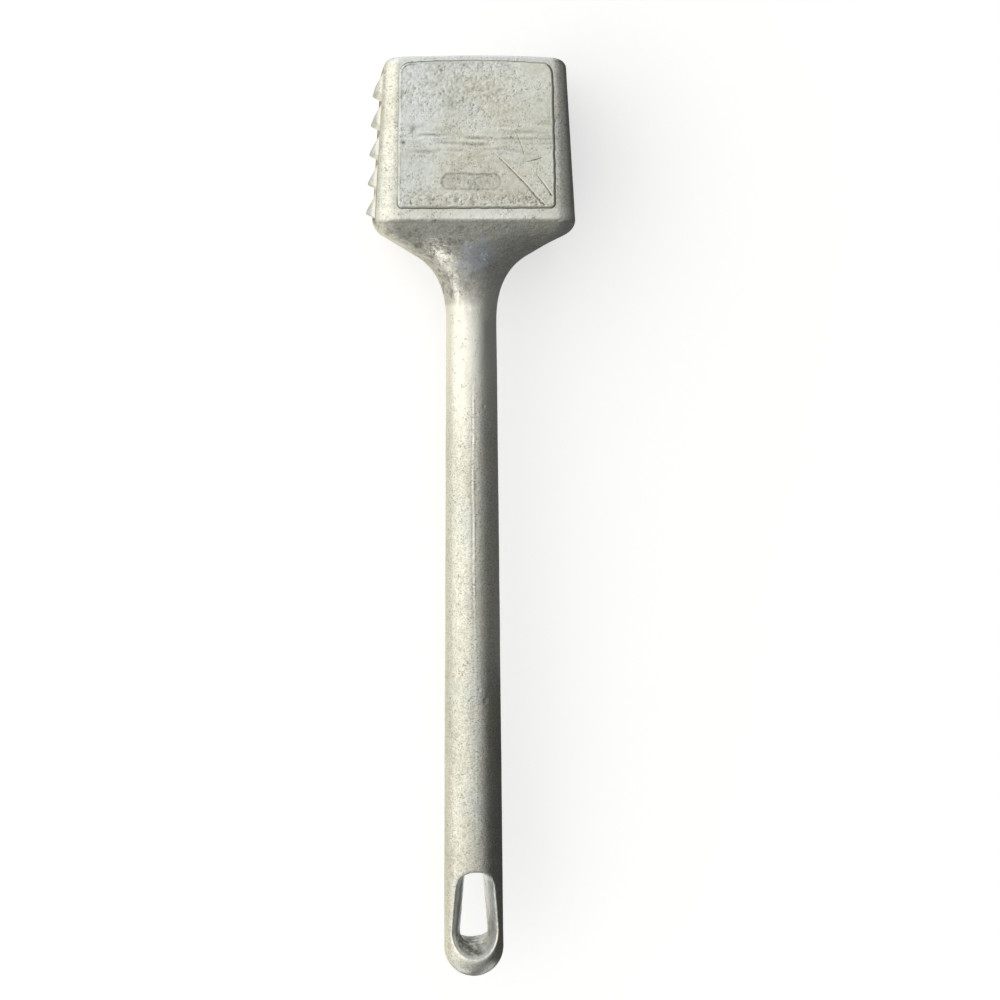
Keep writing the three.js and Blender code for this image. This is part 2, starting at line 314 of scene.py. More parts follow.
@dataclass(frozen=True)
class CastRelief:
    """How far the casting's skin lies under its true form, from its making and its years of use."""

    swells: tuple[tuple[float, float, int], ...] = (
        (0.09 * MM, 11.0 * MM, 11),
        (0.035 * MM, 3.4 * MM, 12),
        (0.014 * MM, 1.1 * MM, 13),
    )
    pit: float = 0.1 * MM
    pit_cell: float = 2.6 * MM
    pit_share: float = 0.1
    pit_seed: int = 14

    def depth(self, points: Array) -> Array:
        """Depth under the true form at each place."""
        depth = self.pit * pit_depth(points, self.pit_cell, self.pit_share, self.pit_seed)
        for height, cell, seed in self.swells:
            depth += height * (1 + soft_noise(points, cell, seed)) / 2
        return depth


def grid_faces(rows: int, columns: int, wrap: bool) -> Array:
    """Quads of a grid of points, seen from the side that columns cross rows points to.

    Args:
        rows: number of rows.
        columns: number of points in a row.
        wrap: whether the last column joins the first.

    Returns:
        Four point numbers for each quad.
    """
    row = np.arange(rows - 1)[:, None]
    column = np.arange(columns if wrap else columns - 1)[None, :]
    after = (column + 1) % columns
    corners = [row * columns + column, row * columns + after]
    corners += [(row + 1) * columns + after, (row + 1) * columns + column]
    return np.stack(np.broadcast_arrays(*corners), axis=-1).reshape(-1, 4)


def ring_faces(rows: int, columns: int) -> list:
    """Faces of a closed solid made of rings, with one face over each end."""
    last = (rows - 1) * columns
    faces = grid_faces(rows, columns, True).tolist()
    faces.append(list(range(columns - 1, -1, -1)))
    faces.append(list(range(last, last + columns)))
    return faces


def grid_normals(points: Array, wrap: bool) -> Array:
    """Outward directions of a grid of points.

    Args:
        points: the grid, as rows by columns by three.
        wrap: whether the last column joins the first.

    Returns:
        Unit vectors in the same layout.
    """
    along = np.gradient(points, axis=0)
    across = np.gradient(points, axis=1)
    if wrap:
        across = (np.roll(points, -1, axis=1) - np.roll(points, 1, axis=1)) / 2
    normals = np.cross(across, along)
    return normals / np.maximum(np.linalg.norm(normals, axis=2, keepdims=True), 1e-12)


def linked(name: str, mesh: bpy.types.Mesh) -> bpy.types.Object:
    """Makes a smooth-shaded object of a mesh and puts it in the scene."""
    mesh.polygons.foreach_set("use_smooth", [True] * len(mesh.polygons))
    piece = bpy.data.objects.new(name, mesh)
    bpy.context.collection.objects.link(piece)
    return piece


def mesh_object(
    name: str, points: Array, faces: list, normals: Array | None = None
) -> bpy.types.Object:
    """Makes a mesh object.

    Args:
        name: the piece's name.
        points: its points, one row each.
        faces: point numbers of each face.
        normals: directions for shading at each point, where they run on past the piece's edge.

    Returns:
        The new object, in the scene.
    """
    mesh = bpy.data.meshes.new(name)
    mesh.from_pydata(points.tolist(), [], faces)
    piece = linked(name, mesh)
    mesh.update()
    if normals is not None:
        mesh.normals_split_custom_set_from_vertices(normals.tolist())
    return piece


def rim_of(rows: int, columns: int) -> Array:
    """Point numbers round the rim of a grid, anticlockwise seen from outside."""
    numbers = np.arange(rows * columns).reshape(rows, columns)
    sides = [numbers[0, :-1], numbers[:-1, -1], numbers[-1, :0:-1], numbers[:0:-1, 0]]
    return np.concatenate(sides)


def backed_sheet(
    name: str, points: Array, inward: tuple[float, float, float], true_normals: bool
) -> bpy.types.Object:
    """Makes a closed piece from the grid of points of its visible side.

    Args:
        name: the piece's name.
        points: the visible side, as rows by columns by three.
        inward: how far the back lies from the rim.
        true_normals: whether shading leaves out the walls behind the rim.

    Returns:
        The new object.
    """
    rows, columns = points.shape[:2]
    flat = points.reshape(-1, 3)
    rim = rim_of(rows, columns)
    back = len(flat) + np.arange(len(rim))
    walls = np.stack([rim, back, np.roll(back, -1), np.roll(rim, -1)], axis=1)
    faces = grid_faces(rows, columns, False).tolist() + walls.tolist() + [back[::-1].tolist()]
    normals = None
    if true_normals:
        front = grid_normals(points, False).reshape(-1, 3)
        normals = np.vstack([front, front[rim]])
    return mesh_object(name, np.vstack([flat, flat[rim] + np.array(inward)]), faces, normals)


def paint(piece: bpy.types.Object, name: str, values: Array) -> None:
    """Writes one value for each point, which the finishes read by name."""
    layer = piece.data.attributes.new(name, "FLOAT", "POINT")
    padded = np.zeros(len(piece.data.vertices))
    padded[: len(values)] = values
    layer.data.foreach_set("value", padded)


@dataclass(frozen=True)
class MouldSeam:
    """The line that the two halves of the mould left down the handle's front and back."""

    height: float = 0.11 * MM
    width: float = 0.27 * MM
    wander: float = 1.2 * MM
    groove_share: float = 0.8
    groove_widths: float = 2.2
    shake: Grain = Grain(((0.2 * MM, 14 * MM, 31),))
    wear: Grain = Grain(((0.3, 5 * MM, 32), (0.3, 1.4 * MM, 30)))
    mean_share: float = 0.6
    end_loss: float = 0.75
    end_part: Ease = ease_mm(-120, -165)
    start: Ease = ease_mm(-14, -32)
    stop: Ease = ease_mm(-4, 8)

    def rise(self, form: MalletForm, points: Array) -> Array:
        """Height of the seam.

        Args:
            form: the casting's sizes.
            points: places on the casting, one row each.

        Returns:
            One height for each place.
        """
        x, y = points[:, 0], points[:, 1]
        lengthwise = points * (0, 1, 0)
        share = np.clip((form.neck_end_y - y) / form.handle_length, 0, 1)
        off_line = x - self.wander * share**2 - self.shake.at(lengthwise)
        worn = (self.mean_share + self.wear.at(lengthwise)) * (1 - self.end_loss * self.end_part.at(y))
        fade = self.start.at(y - form.neck_end_y) * self.stop.at(y - form.eye_section_y)
        groove = bump(off_line + self.groove_widths * self.width, self.width)
        return self.height * (bump(off_line, self.width) - self.groove_share * groove) * worn * fade


@dataclass(frozen=True)
class HandleWear:
    """The fine pitting of the handle, coarser to the left of its seam and towards the eye."""

    depth: float = 0.035 * MM
    soil_share: float = 0.2
    left_side: Ease = ease_mm(1.5, -0.5)
    right_share: float = 0.3
    eye_end: Ease = ease_mm(-90, -190)
    neck_share: float = 0.65
    start: Ease = ease_mm(6, -24)
    grain: Grain = Grain(
        (
            (1.0, (0.9 * MM, 0.75 * MM, 0.9 * MM), 95),
            (0.7, 0.6 * MM, 96),
            (0.5, (2.0 * MM, 5.0 * MM, 2.0 * MM), 97),
        )
    )
    lowest: float = -0.5
    highest: float = 1.2

    def share(self, form: MalletForm, points: Array) -> Array:
        """How worn each place of the handle is, below 0 where the skin stands up."""
        x, y = points[:, 0], points[:, 1]
        left = self.right_share + (1 - self.right_share) * self.left_side.at(x)
        end = self.neck_share + (1 - self.neck_share) * self.eye_end.at(y)
        start = self.start.at(y - form.neck_end_y)
        return left * end * start * np.clip(self.grain.at(points), self.lowest, self.highest)

    def sink(self, form: MalletForm, points: Array) -> Array:
        """Depths of the pits."""
        return self.depth * self.share(form, points)

    def soil(self, form: MalletForm, points: Array) -> Array:
        """Shares of grime in the pits."""
        return self.soil_share * np.maximum(self.share(form, points), 0)


@dataclass(frozen=True)
class FramePits:
    """The larger and the smaller pits of the head's frame."""

    large: tuple[float, float, int] = (1.7 * MM, 0.22, 26)
    small: tuple[float, float, int] = (0.95 * MM, 0.16, 19)
    depth: float = 0.06 * MM
    small_depth_share: float = 0.6
    small_soil_share: float = 0.8

    def sink(self, points: Array) -> Array:
        """Depths of the pits."""
        small = self.small_depth_share * pit_depth(points, *self.small)
        return self.depth * (pit_depth(points, *self.large) + small)

    def soil(self, points: Array) -> Array:
        """Shares of grime in the pits."""
        return pit_depth(points, *self.large) + self.small_soil_share * pit_depth(points, *self.small)


@dataclass(frozen=True)
class CastingSoilAndShade:
    """Where soil stays on the head and the neck, with thin dark lines of painted shade under the crease and
    along the frame's edge beside the teeth.
    """

    pits: FramePits = FramePits()
    pit_share: float = 0.5
    cheek: Ease = ease_mm(16, 20)
    specks: Grain = Grain(((1.0, 0.9 * MM, 37), (0.5, 0.5 * MM, 38)))
    patches: Grain = Grain(((0.9, 3.1 * MM, 23),))
    patch_mean: float = 0.5
    crease_share: float = 0.9
    crease_above: float = 0.4 * MM
    crease_width: float = 0.9 * MM
    fold_share: float = 0.28
    fold_above: float = -0.3 * MM
    fold_width: float = 0.35 * MM
    tooth_share: float = 0.85
    tooth_frame: Ease = ease_mm(2.0, 1.2)
    tooth_inset: Ease = ease_mm(1.1, 0.6)
    tooth_start: Ease = ease_mm(-2, 0)
    head_start: Ease = ease_mm(0, 1.5)
    fine_share: float = 0.11
    fine: Grain = Grain(((1.0, 0.7 * MM, 28), (0.8, 0.45 * MM, 29)))
    smear_share: float = 0.62
    smears: Grain = Grain(((1.0, 1.2 * MM, 22), (0.8, 0.55 * MM, 21)))
    smear_start: Ease = ease_mm(0, -2)
    smear_stop: Ease = ease_mm(1, 9)
    smear_left: Ease = ease_mm(6, -6)
    smear_right_share: float = 0.4

    def share(self, form: MalletForm, points: Array) -> Array:
        """Shares of darker speckles along the crease, of painted shade in a thin line under it and along
        the frame's edge beside the teeth, and of soil in the frame's pits and on the neck.

        Args:
            form: the casting's sizes.
            points: places on the casting, one row each.

        Returns:
            One share for each place.
        """
        x, z = points[:, 0], np.abs(points[:, 2] - form.middle_z)
        above = points[:, 1] - form.shoulder_y
        on_cheek = self.cheek.at(z)
        crease = bump(above - self.crease_above, self.crease_width) * on_cheek
        crease *= np.clip(self.patch_mean + self.patches.at(points), 0, 1)
        crease *= self.crease_share * np.maximum(self.specks.at(points), 0)
        # painted shade: a thin dark line just under the shoulder's crease
        fold = self.fold_share * bump(above - self.fold_above, self.fold_width) * on_cheek
        # painted shade: a thin dark line along the frame's outline beside the teeth
        edge = self.tooth_frame.at(z - form.face_depth / 2) * self.tooth_start.at(above)
        edge *= self.tooth_share * self.tooth_inset.at(form.head_half_width(points[:, 1]) + x)
        frame_soil = self.fine_share * np.maximum(self.fine.at(points), 0)
        frame_soil += self.pit_share * self.pits.soil(points)
        smears = self.smear_share * np.maximum(self.smears.at(points), 0)
        smears *= self.smear_start.at(above) * self.smear_stop.at(points[:, 1] - form.neck_end_y)
        smears *= self.smear_right_share + (1 - self.smear_right_share) * self.smear_left.at(x)
        return np.clip(crease + fold + edge + self.head_start.at(above) * frame_soil + smears, 0, 1)


@dataclass(frozen=True)
class PaintedHighlights:
    """Painted highlights on the head and the neck, and painted glints in bright flecks near the neck's end.
    """

    line_share: float = 1.6
    line_width: float = 0.28 * MM
    line_start: Ease = ease_mm(-8, -3)
    line_stop: Ease = ease_mm(10, 6)
    line_grain: Grain = Grain(((0.5, 2.2 * MM, 25),))
    line_mean: float = 0.75
    strip_share: float = 0.6
    strip_start: Ease = ease_mm(0.2, 0.8)
    strip_stop: Ease = ease_mm(4, 3.2)
    neck_end_highlight: Ease = ease_mm(16, 4)
    patch_x: float = -8.7 * MM
    patch_y: float = -35 * MM
    patch_width: float = 2.9 * MM
    patch_height: float = 3.4 * MM
    patch_edge: Ease = Ease(1.3, 0.5)
    fleck_share: float = 1.2
    flecks: Grain = Grain(((1.0, 0.75 * MM, 24), (0.5, 0.45 * MM, 20)))
    fleck_edge: Ease = Ease(0.25, 0.8)
    fleck_glint_left: Ease = ease_mm(4, -8)
    fleck_glint_right_share: float = 0.45
    fleck_glint_start: Ease = ease_mm(-1, -5)
    fleck_glint_reach: float = 20 * MM

    def share(self, form: MalletForm, lip: float, points: Array) -> Array:
        """Shares of painted highlight on the lip over the crease, the strip under the panel and the neck,
        and of painted glints in flecks.

        Args:
            form: the casting's sizes.
            lip: height of the lip over the shoulder.
            points: places on the casting, one row each.

        Returns:
            One share for each place.
        """
        x, y = points[:, 0], points[:, 1]
        above = y - form.shoulder_y
        # painted highlight: a bright line along the lip over the crease
        line = bump(above - lip, self.line_width) * self.line_start.at(x) * self.line_stop.at(x)
        line *= self.line_share * (self.line_mean + self.line_grain.at(points))
        # painted highlight: a lighter strip from the lip up to the panel
        strip = self.strip_share * self.strip_start.at(above) * self.strip_stop.at(above)
        # painted highlight: a bright patch on the left of the neck's front, where it curves into the handle
        across = (x - self.patch_x) / self.patch_width
        patch = self.patch_edge.at(np.hypot(across, (y - self.patch_y) / self.patch_height))
        # painted glints: bright flecks on the neck, more of them on the left
        fleck_glints = self.fleck_glint_right_share + (1 - self.fleck_glint_right_share) * self.fleck_glint_left.at(x)
        fleck_glints *= self.fleck_glint_start.at(above) * (y > form.neck_end_y - self.fleck_glint_reach)
        fleck_glints *= self.fleck_share * self.fleck_edge.at(self.flecks.at(points))
        front = (line + strip + patch + fleck_glints) * (points[:, 2] > form.middle_z)
        # painted highlight: lighter towards the neck's end, on all sides
        return np.clip(front + self.neck_end_highlight.at(y - form.neck_end_y), 0, 1)


@dataclass(frozen=True)
class BlueReflectionTint:
    """A painted blue reflection: the bluish patch on the front of the neck, and the cold tint of the crown.
    """

    x: float = 0.2 * MM
    y: float = -32.5 * MM
    width: float = 5.5 * MM
    height: float = 6.5 * MM
    strength: float = 1.33
    edge: Ease = Ease(1.25, 0.35)
    ragged: Grain = Grain(((0.3, 2.5 * MM, 39),))
    crown_share: float = 0.5
    crown: Ease = ease_mm(-1.5, -0.3)

    def neck_share(self, form: MalletForm, points: Array) -> Array:
        """Shares of the painted blue reflection on the neck."""
        reach = np.hypot((points[:, 0] - self.x) / self.width, (points[:, 1] - self.y) / self.height)
        return self.strength * self.edge.at(reach + self.ragged.at(points)) * (points[:, 2] > form.middle_z)

    def crown_tint(self, form: MalletForm, points: Array) -> Array:
        """Shares of the painted cold reflection tint on the head."""
        return self.crown_share * self.crown.at(points[:, 1] - form.cheek_edge_y)


@dataclass
class CastingSkin:
    """The casting's outside from crown to eye, as rings of equally many points."""

    form: MalletForm
    relief: CastRelief = CastRelief()
    seam: MouldSeam = MouldSeam()
    wear: HandleWear = HandleWear()
    pits: FramePits = FramePits()
    dirt_and_shade: CastingSoilAndShade = CastingSoilAndShade()
    highlights: PaintedHighlights = PaintedHighlights()
    blue_reflection_tint: BlueReflectionTint = BlueReflectionTint()
    arc_steps: int = 14
    cheek_steps: int = 122
    side_steps: int = 86
    crown_rings: int = 36
    edge_rings: int = 12
    head_rings: int = 108
    turn_rings: int = 12
    slope_rings: int = 34
    curve_rings: int = 44
    handle_rings: int = 420
    handle_column_step: int = 3
    cheek_facing: Ease = Ease(0.6, 0.95)
    head_start: Ease = ease_mm(0, 1.5)
    lip_height: float = 0.16 * MM
    lip_width: float = 0.45 * MM
    lip_above_shoulder: float = 0.75 * MM
    lip_ends: Ease = ease_mm(-6, -2)
    frame_foot: float = 21.4 * MM
    frame_lean: float = 0.07
    frame_lean_reach: float = 3.2 * MM
    crease_round: float = 0.6 * MM
    crease_facing: Ease = Ease(0.35, 0.65)
    crease_rough: float = 0.055 * MM
    crease_grain: Grain = Grain(((1.0, 0.8 * MM, 33), (0.8, 0.5 * MM, 34)))
    crease_above: float = 0.5 * MM
    crease_width: float = 0.9 * MM
    crease_left: Ease = ease_mm(16, -12)
    crease_right_share: float = 0.35
    neck_rough: float = 0.07 * MM
    neck_blotches: Grain = Grain(((1.0, 1.7 * MM, 35), (0.6, 0.9 * MM, 36)))
    neck_start: Ease = ease_mm(0.5, -2)
    neck_stop: Ease = ease_mm(4, 14)
    wear_above_neck_end: float = 6 * MM
    seat_depth: float = 1.6 * MM
    seat_edge: Ease = ease_mm(-0.25, 0.25)

    def __post_init__(self) -> None:
        """Lays the rings and pushes them in by the relief."""
        crown = self.crown_points()
        edge = self.edge_points()
        head = self.head_points(edge[-1])
        neck = self.neck_points()
        handle = self.handle_points()
        true_points = np.concatenate([crown, edge, head, neck, handle])
        starts = np.cumsum([0, len(crown) + len(edge), len(head), len(neck), len(handle)])
        self.head_rows = slice(0, starts[2])
        self.neck_rows = slice(starts[2] - 1, starts[3])
        self.handle_rows = slice(starts[3] - 1, starts[4])
        true_normals = grid_normals(true_points, True)
        true_normals[0] = (0, 1, 0)
        self.true_points = true_points
        self.points = true_points + true_normals * self.rise(true_points, true_normals)[..., None]
        self.normals = grid_normals(self.points, True)
        self.normals[0] = (0, 1, 0)

    @property
    def columns(self) -> int:
        """Number of points in a ring."""
        return 4 * (self.arc_steps + 1) + 2 * (self.cheek_steps - 1) + 2 * (self.side_steps - 1)

    @property
    def plain_columns(self) -> Array:
        """The points of a ring that lie on the plain striking side, between the long edges."""
        return np.arange(self.columns - self.side_steps, self.columns + 1) % self.columns

    def outline(self, half_width: Array, half_depth: Array, radius: Array) -> tuple:
        """Rounded rectangles round the middle of the mallet.

        Args:
            half_width: half their widths, as a column.
            half_depth: half their depths.
            radius: the radii of their corners.

        Returns:
            Places along X and Z, one row for each rectangle.
        """
        quarter = np.linspace(0, math.pi / 2, self.arc_steps + 1)[None, :]
        arcs = []
        for number, (across, along) in enumerate(((1, 1), (-1, 1), (-1, -1), (1, -1))):
            angle = quarter + number * math.pi / 2
            x = across * (half_width - radius) + radius * np.cos(angle)
            z = along * (half_depth - radius) + radius * np.sin(angle)
            arcs.append((x, z))
        parts_x, parts_z = [], []
        for number, (x, z) in enumerate(arcs):
            steps = self.cheek_steps if number % 2 == 0 else self.side_steps
            next_x, next_z = arcs[(number + 1) % len(arcs)]
            share = (np.arange(1, steps) / steps)[None, :]
            parts_x += [x, x[:, -1:] + (next_x[:, :1] - x[:, -1:]) * share]
            parts_z += [z, z[:, -1:] + (next_z[:, :1] - z[:, -1:]) * share]
        return np.hstack(parts_x), np.hstack(parts_z)

    def shoulder_outline(self) -> tuple:
        """The block's outline at the shoulder, as one row of places along X and Z."""
        form = self.form
        half_width = np.array([[form.shoulder_width / 2]])
        half_depth = np.array([[form.head_depth / 2]])
        return self.outline(half_width, half_depth, np.array([[form.shoulder_side_radius]]))

    def rounded_crown(self, angle: Array, reach: Array) -> Array:
        """Rings over the crown's rounded edge and its top.

        Args:
            angle: how far round the edge each ring lies, as a column.
            reach: share of the crown's width and depth that each ring keeps.

        Returns:
            The rings' points.
        """
        form = self.form
        end_y = form.end_edge_y + form.crown_end_drop * np.sin(angle)
        cheek_y = form.cheek_edge_y + form.crown_cheek_drop * np.sin(angle)
        cheek_round = form.crown_cheek_round * (1 - np.cos(angle))
        x, z = self.outline(
            form.head_half_width(end_y) - form.crown_end_round * (1 - np.cos(angle)),
            form.head_depth / 2 - cheek_round,
            form.long_edge_radius(end_y) - cheek_round,
        )
        x, z = x * reach, z * reach
        y = cheek_y + (end_y - cheek_y) * (x / form.head_half_width(end_y)) ** 2
        return np.stack([x, y, z + form.middle_z], axis=-1)

    def crown_points(self) -> Array:
        """Rings over the top of the crown, from its middle out."""
        reach = (np.arange(1, self.crown_rings) / self.crown_rings)[:, None]
        return self.rounded_crown(np.full_like(reach, math.pi / 2), reach)

    def edge_points(self) -> Array:
        """Rings over the crown's rounded edge."""
        angle = np.linspace(math.pi / 2, 0, self.edge_rings + 1)[:, None]
        return self.rounded_crown(angle, np.ones_like(angle))

    def head_points(self, edge_ring: Array) -> Array:
        """Rings down the head's sides, from the crown's edge to the shoulder.

        Args:
            edge_ring: the lowest ring of the crown's edge.

        Returns:
            The rings' points, without that edge.
        """
        x, z = self.shoulder_outline()
        level = np.full_like(x[0], self.form.shoulder_y)
        shoulder = np.stack([x[0], level, z[0] + self.form.middle_z], axis=-1)
        share = (np.arange(1, self.head_rings + 1) / self.head_rings)[:, None, None]
        return edge_ring + (shoulder - edge_ring) * share

    def neck_profile(self) -> Array:
        """Points down the neck's silhouette, from the shoulder to the handle."""
        form = self.form
        shoulder_x = form.shoulder_width / 2
        handle_x = form.handle_neck_diameter / 2
        corner_y = form.shoulder_y - form.shoulder_turn

        def slope_point(x: float) -> Array:
            """The point of the neck's slope at a distance from the middle."""
            return np.array([x, corner_y - (shoulder_x - x) * math.tan(form.neck_slope)])

        def bend(start: Array, corner: Array, end: Array, steps: int) -> Array:
            """Points of a curve that a corner draws, without its start."""
            share = (np.arange(1, steps + 1) / steps)[:, None]
            return start * (1 - share) ** 2 + corner * 2 * share * (1 - share) + end * share**2

        shoulder = np.array([shoulder_x, form.shoulder_y])
        handle = np.array([handle_x, form.neck_end_y])
        turn_end = slope_point(shoulder_x - form.shoulder_turn * math.cos(form.neck_slope))
        slope_end = slope_point(form.slope_end_width / 2)
        slope_share = (np.arange(1, self.slope_rings + 1) / self.slope_rings)[:, None]
        turn = bend(shoulder, np.array([shoulder_x, corner_y]), turn_end, self.turn_rings)
        slope = turn_end + (slope_end - turn_end) * slope_share
        return np.vstack([turn, slope, bend(slope_end, slope_point(handle_x), handle, self.curve_rings)])

    def neck_half_depth(self, y: Array) -> Array:
        """Half the neck's depth at a height: a straight slope off the cheek, then a curve to the handle."""
        form = self.form
        cheek, handle = form.head_depth / 2, form.handle_neck_diameter / 2
        slope_end = form.cheek_slope_end_depth / 2
        slope_share = (form.shoulder_y - y) / form.cheek_slope_length
        curve_length = form.neck_length - form.cheek_slope_length
        fall = (cheek - slope_end) / form.cheek_slope_length * curve_length / (slope_end - handle)
        curve_share = np.clip((y - form.neck_end_y) / curve_length, 0, 1)
        curve = handle + (slope_end - handle) * curve_share**fall
        return np.where(slope_share < 1, cheek + (slope_end - cheek) * slope_share, curve)

    def round_or_square(self, x_reach: Array, z_reach: Array, square_share: Array) -> tuple:
        """Rings between a circle and the block's outline.

        Args:
            x_reach: half their widths, as a column.
            z_reach: half their depths.
            square_share: 0 for a round ring, 1 for the block's outline.

        Returns:
            Places along X and Z.
        """
        x, z = self.shoulder_outline()
        square = np.stack([x / (self.form.shoulder_width / 2), z / (self.form.head_depth / 2)])
        circle = square / np.linalg.norm(square, axis=0)
        ring = circle + (square - circle) * square_share[None]
        return ring[0] * x_reach, ring[1] * z_reach

    def neck_points(self) -> Array:
        """Rings down the neck."""
        form = self.form
        profile = self.neck_profile()
        handle_x = form.handle_neck_diameter / 2
        share = (profile[:, :1] - handle_x) / (form.shoulder_width / 2 - handle_x)
        depth = self.neck_half_depth(profile[:, 1:])
        x, z = self.round_or_square(profile[:, :1], depth, share)
        y = np.broadcast_to(profile[:, 1:], x.shape)
        return np.stack([x, y, z + form.middle_z], axis=-1)

    def handle_points(self) -> Array:
        """Rings down the handle to the stretch with the eye."""
        form = self.form
        share = (np.arange(1, self.handle_rings + 1) / self.handle_rings)[:, None]
        y = form.neck_end_y + (form.eye_section_y - form.neck_end_y) * share
        radius = form.handle_radius(y)
        x, z = self.round_or_square(radius, radius, np.zeros_like(radius))
        return np.stack([x, np.broadcast_to(y, x.shape), z + form.middle_z], axis=-1)

    def rise(self, points: Array, normals: Array) -> Array:
        """How far the skin stands over its true form at each point of a grid.

        Args:
            points: the true points.
            normals: their outward directions.

        Returns:
            Heights along those directions.
        """
        form = self.form
        flat = points.reshape(-1, 3)
        layout = points.shape[:2]
        facing = np.abs(normals[..., 2])
        rise = (self.seam.rise(form, flat) - self.relief.depth(flat)).reshape(layout)
        rise += self.frame_rise(points, facing) + self.crease_rise(points, facing)
        above = points[..., 1] - form.shoulder_y
        over_end = points[..., 1] - form.neck_end_y
        blotches = np.maximum(self.neck_blotches.at(flat), 0).reshape(layout)
        rise -= self.neck_rough * blotches * self.neck_start.at(above) * self.neck_stop.at(over_end)
        rise -= self.wear.sink(form, flat).reshape(layout) * (over_end < self.wear_above_neck_end)
        rise -= self.pits.sink(flat).reshape(layout) * self.head_start.at(above)
        return rise - self.seat_sink(points)

    def frame_rise(self, points: Array, facing: Array) -> Array:
        """Heights of the lip over the crease and of the frame, which leans in beside the panels.

        Args:
            points: the true points.
            facing: how far each of them faces along Z.

        Returns:
            Heights over the true form.
        """
        x = np.abs(points[..., 0])
        above = points[..., 1] - self.form.shoulder_y
        on_cheek = self.cheek_facing.at(facing)
        ends = 1 - self.lip_ends.at(x - self.form.shoulder_width / 2)
        lip = self.lip_height * bump(above - self.lip_above_shoulder, self.lip_width) * ends
        beyond = np.clip(x - self.frame_foot, 0, self.frame_lean_reach)
        return on_cheek * (lip - self.frame_lean * beyond * (above > 0))

    def crease_rise(self, points: Array, facing: Array) -> Array:
        """Heights of the crease under the cheeks, which is rounded and rough.

        Args:
            points: the true points.
            facing: how far each of them faces along Z.

        Returns:
            Heights over the true form.
        """
        form = self.form
        above = points[..., 1] - form.shoulder_y
        near = np.clip(self.crease_round - np.abs(above), 0, None)
        slope = (form.head_depth - form.cheek_slope_end_depth) / 2 / form.cheek_slope_length
        rounding = slope * near**2 / (4 * self.crease_round) * self.crease_facing.at(facing)
        left = self.crease_left.at(points[..., 0])
        rough = self.crease_grain.at(points.reshape(-1, 3)).reshape(above.shape)
        rough *= self.crease_right_share + (1 - self.crease_right_share) * left
        crease = bump(above - self.crease_above, self.crease_width)
        return self.crease_rough * rough * crease - rounding

    def seat_sink(self, points: Array) -> Array:
        """Depths of the seat behind the teeth."""
        form = self.form
        x, y, z = points[..., 0], points[..., 1], np.abs(points[..., 2] - form.middle_z)
        seat = self.seat_edge.at(y - form.face_low_y) * self.seat_edge.at(form.face_high_y - y)
        seat *= self.seat_edge.at(form.face_depth / 2 - z)
        return self.seat_depth * seat * (x < 0) * (y > form.shoulder_y)

    def ringed(self, name: str, rows: slice, column_step: int = 1) -> bpy.types.Object:
        """Makes the piece between two rings, closed at both ends.

        Args:
            name: the piece's name.
            rows: which rings it has.
            column_step: how many of a ring's points go to one of the piece's.

        Returns:
            The new object.
        """
        points = self.points[rows, ::column_step]
        normals = self.normals[rows, ::column_step].reshape(-1, 3)
        return mesh_object(name, points.reshape(-1, 3), ring_faces(*points.shape[:2]), normals)

    def section(self, name: str, rows: slice) -> tuple[bpy.types.Object, Array]:
        """Makes a piece of the head or the neck, with its soiling, painted shade and painted highlights
        laid on.

        Args:
            name: the piece's name.
            rows: which rings it has.

        Returns:
            The new object and its points.
        """
        piece = self.ringed(name, rows)
        points = self.points[rows].reshape(-1, 3)
        paint(piece, "grime_and_shade", self.dirt_and_shade.share(self.form, points))
        paint(piece, "shine", self.highlights.share(self.form, self.lip_above_shoulder, points))
        return piece, points


@dataclass
class HeadBlock:
    """The block between the striking faces, with its rounded frame and crown."""

    skin: CastingSkin
    name: str = "head_frame"

    def build(self) -> bpy.types.Object:
        """Makes the block, with a seat for the teeth."""
        piece, points = self.skin.section(self.name, self.skin.head_rows)
        # painted reflection: a cold blue tint towards the crown
        paint(piece, "blue_reflection", self.skin.blue_reflection_tint.crown_tint(self.skin.form, points))
        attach(piece, BODY)
        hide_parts("head_block")
        return piece


@dataclass
class Neck:
    """The flare from the block's outline to the round handle."""

    skin: CastingSkin
    name: str = "neck_flare"

    def build(self) -> bpy.types.Object:
        """Makes the neck."""
        piece, points = self.skin.section(self.name, self.skin.neck_rows)
        # painted reflection: a bluish patch on the front of the neck
        paint(piece, "blue_reflection", self.skin.blue_reflection_tint.neck_share(self.skin.form, points))
        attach(piece, BODY)
        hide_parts("neck")
        return piece


@dataclass
class HandleShank:
    """The tapered round bar."""

    skin: CastingSkin
    name: str = "handle_bar"
    bright_end: Ease = ease_mm(-92, -60)

    def build(self) -> bpy.types.Object:
        """Makes the shank."""
        step = self.skin.handle_column_step
        piece = self.skin.ringed(self.name, self.skin.handle_rows, step)
        points = self.skin.points[self.skin.handle_rows, ::step].reshape(-1, 3)
        paint(piece, "grime_and_shade", self.skin.wear.soil(self.skin.form, points))
        paint(piece, "shine", self.bright_end.at(points[:, 1]))
        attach(piece, BODY)
        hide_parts("handle_shank")
        return piece


@dataclass
class PlainFace:
    """The smooth striking face, which lies over the block's side by a hair."""

    skin: CastingSkin
    name: str = "plain_face"
    thickness: float = 3.0 * MM
    proud: float = 0.02 * MM

    def build(self) -> bpy.types.Object:
        """Makes the plain face from the block's own rings."""
        form = self.skin.form
        columns = self.skin.plain_columns
        heights = self.skin.true_points[self.skin.head_rows, columns[0], 1]
        rows = np.flatnonzero((heights > form.face_low_y) & (heights < form.face_high_y))
        points = self.skin.points[rows][:, columns] + np.array([self.proud, 0, 0])
        piece = backed_sheet(self.name, points, (-self.thickness, 0, 0), True)
        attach(piece, BODY)
        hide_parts("plain_striking_face")
        return piece


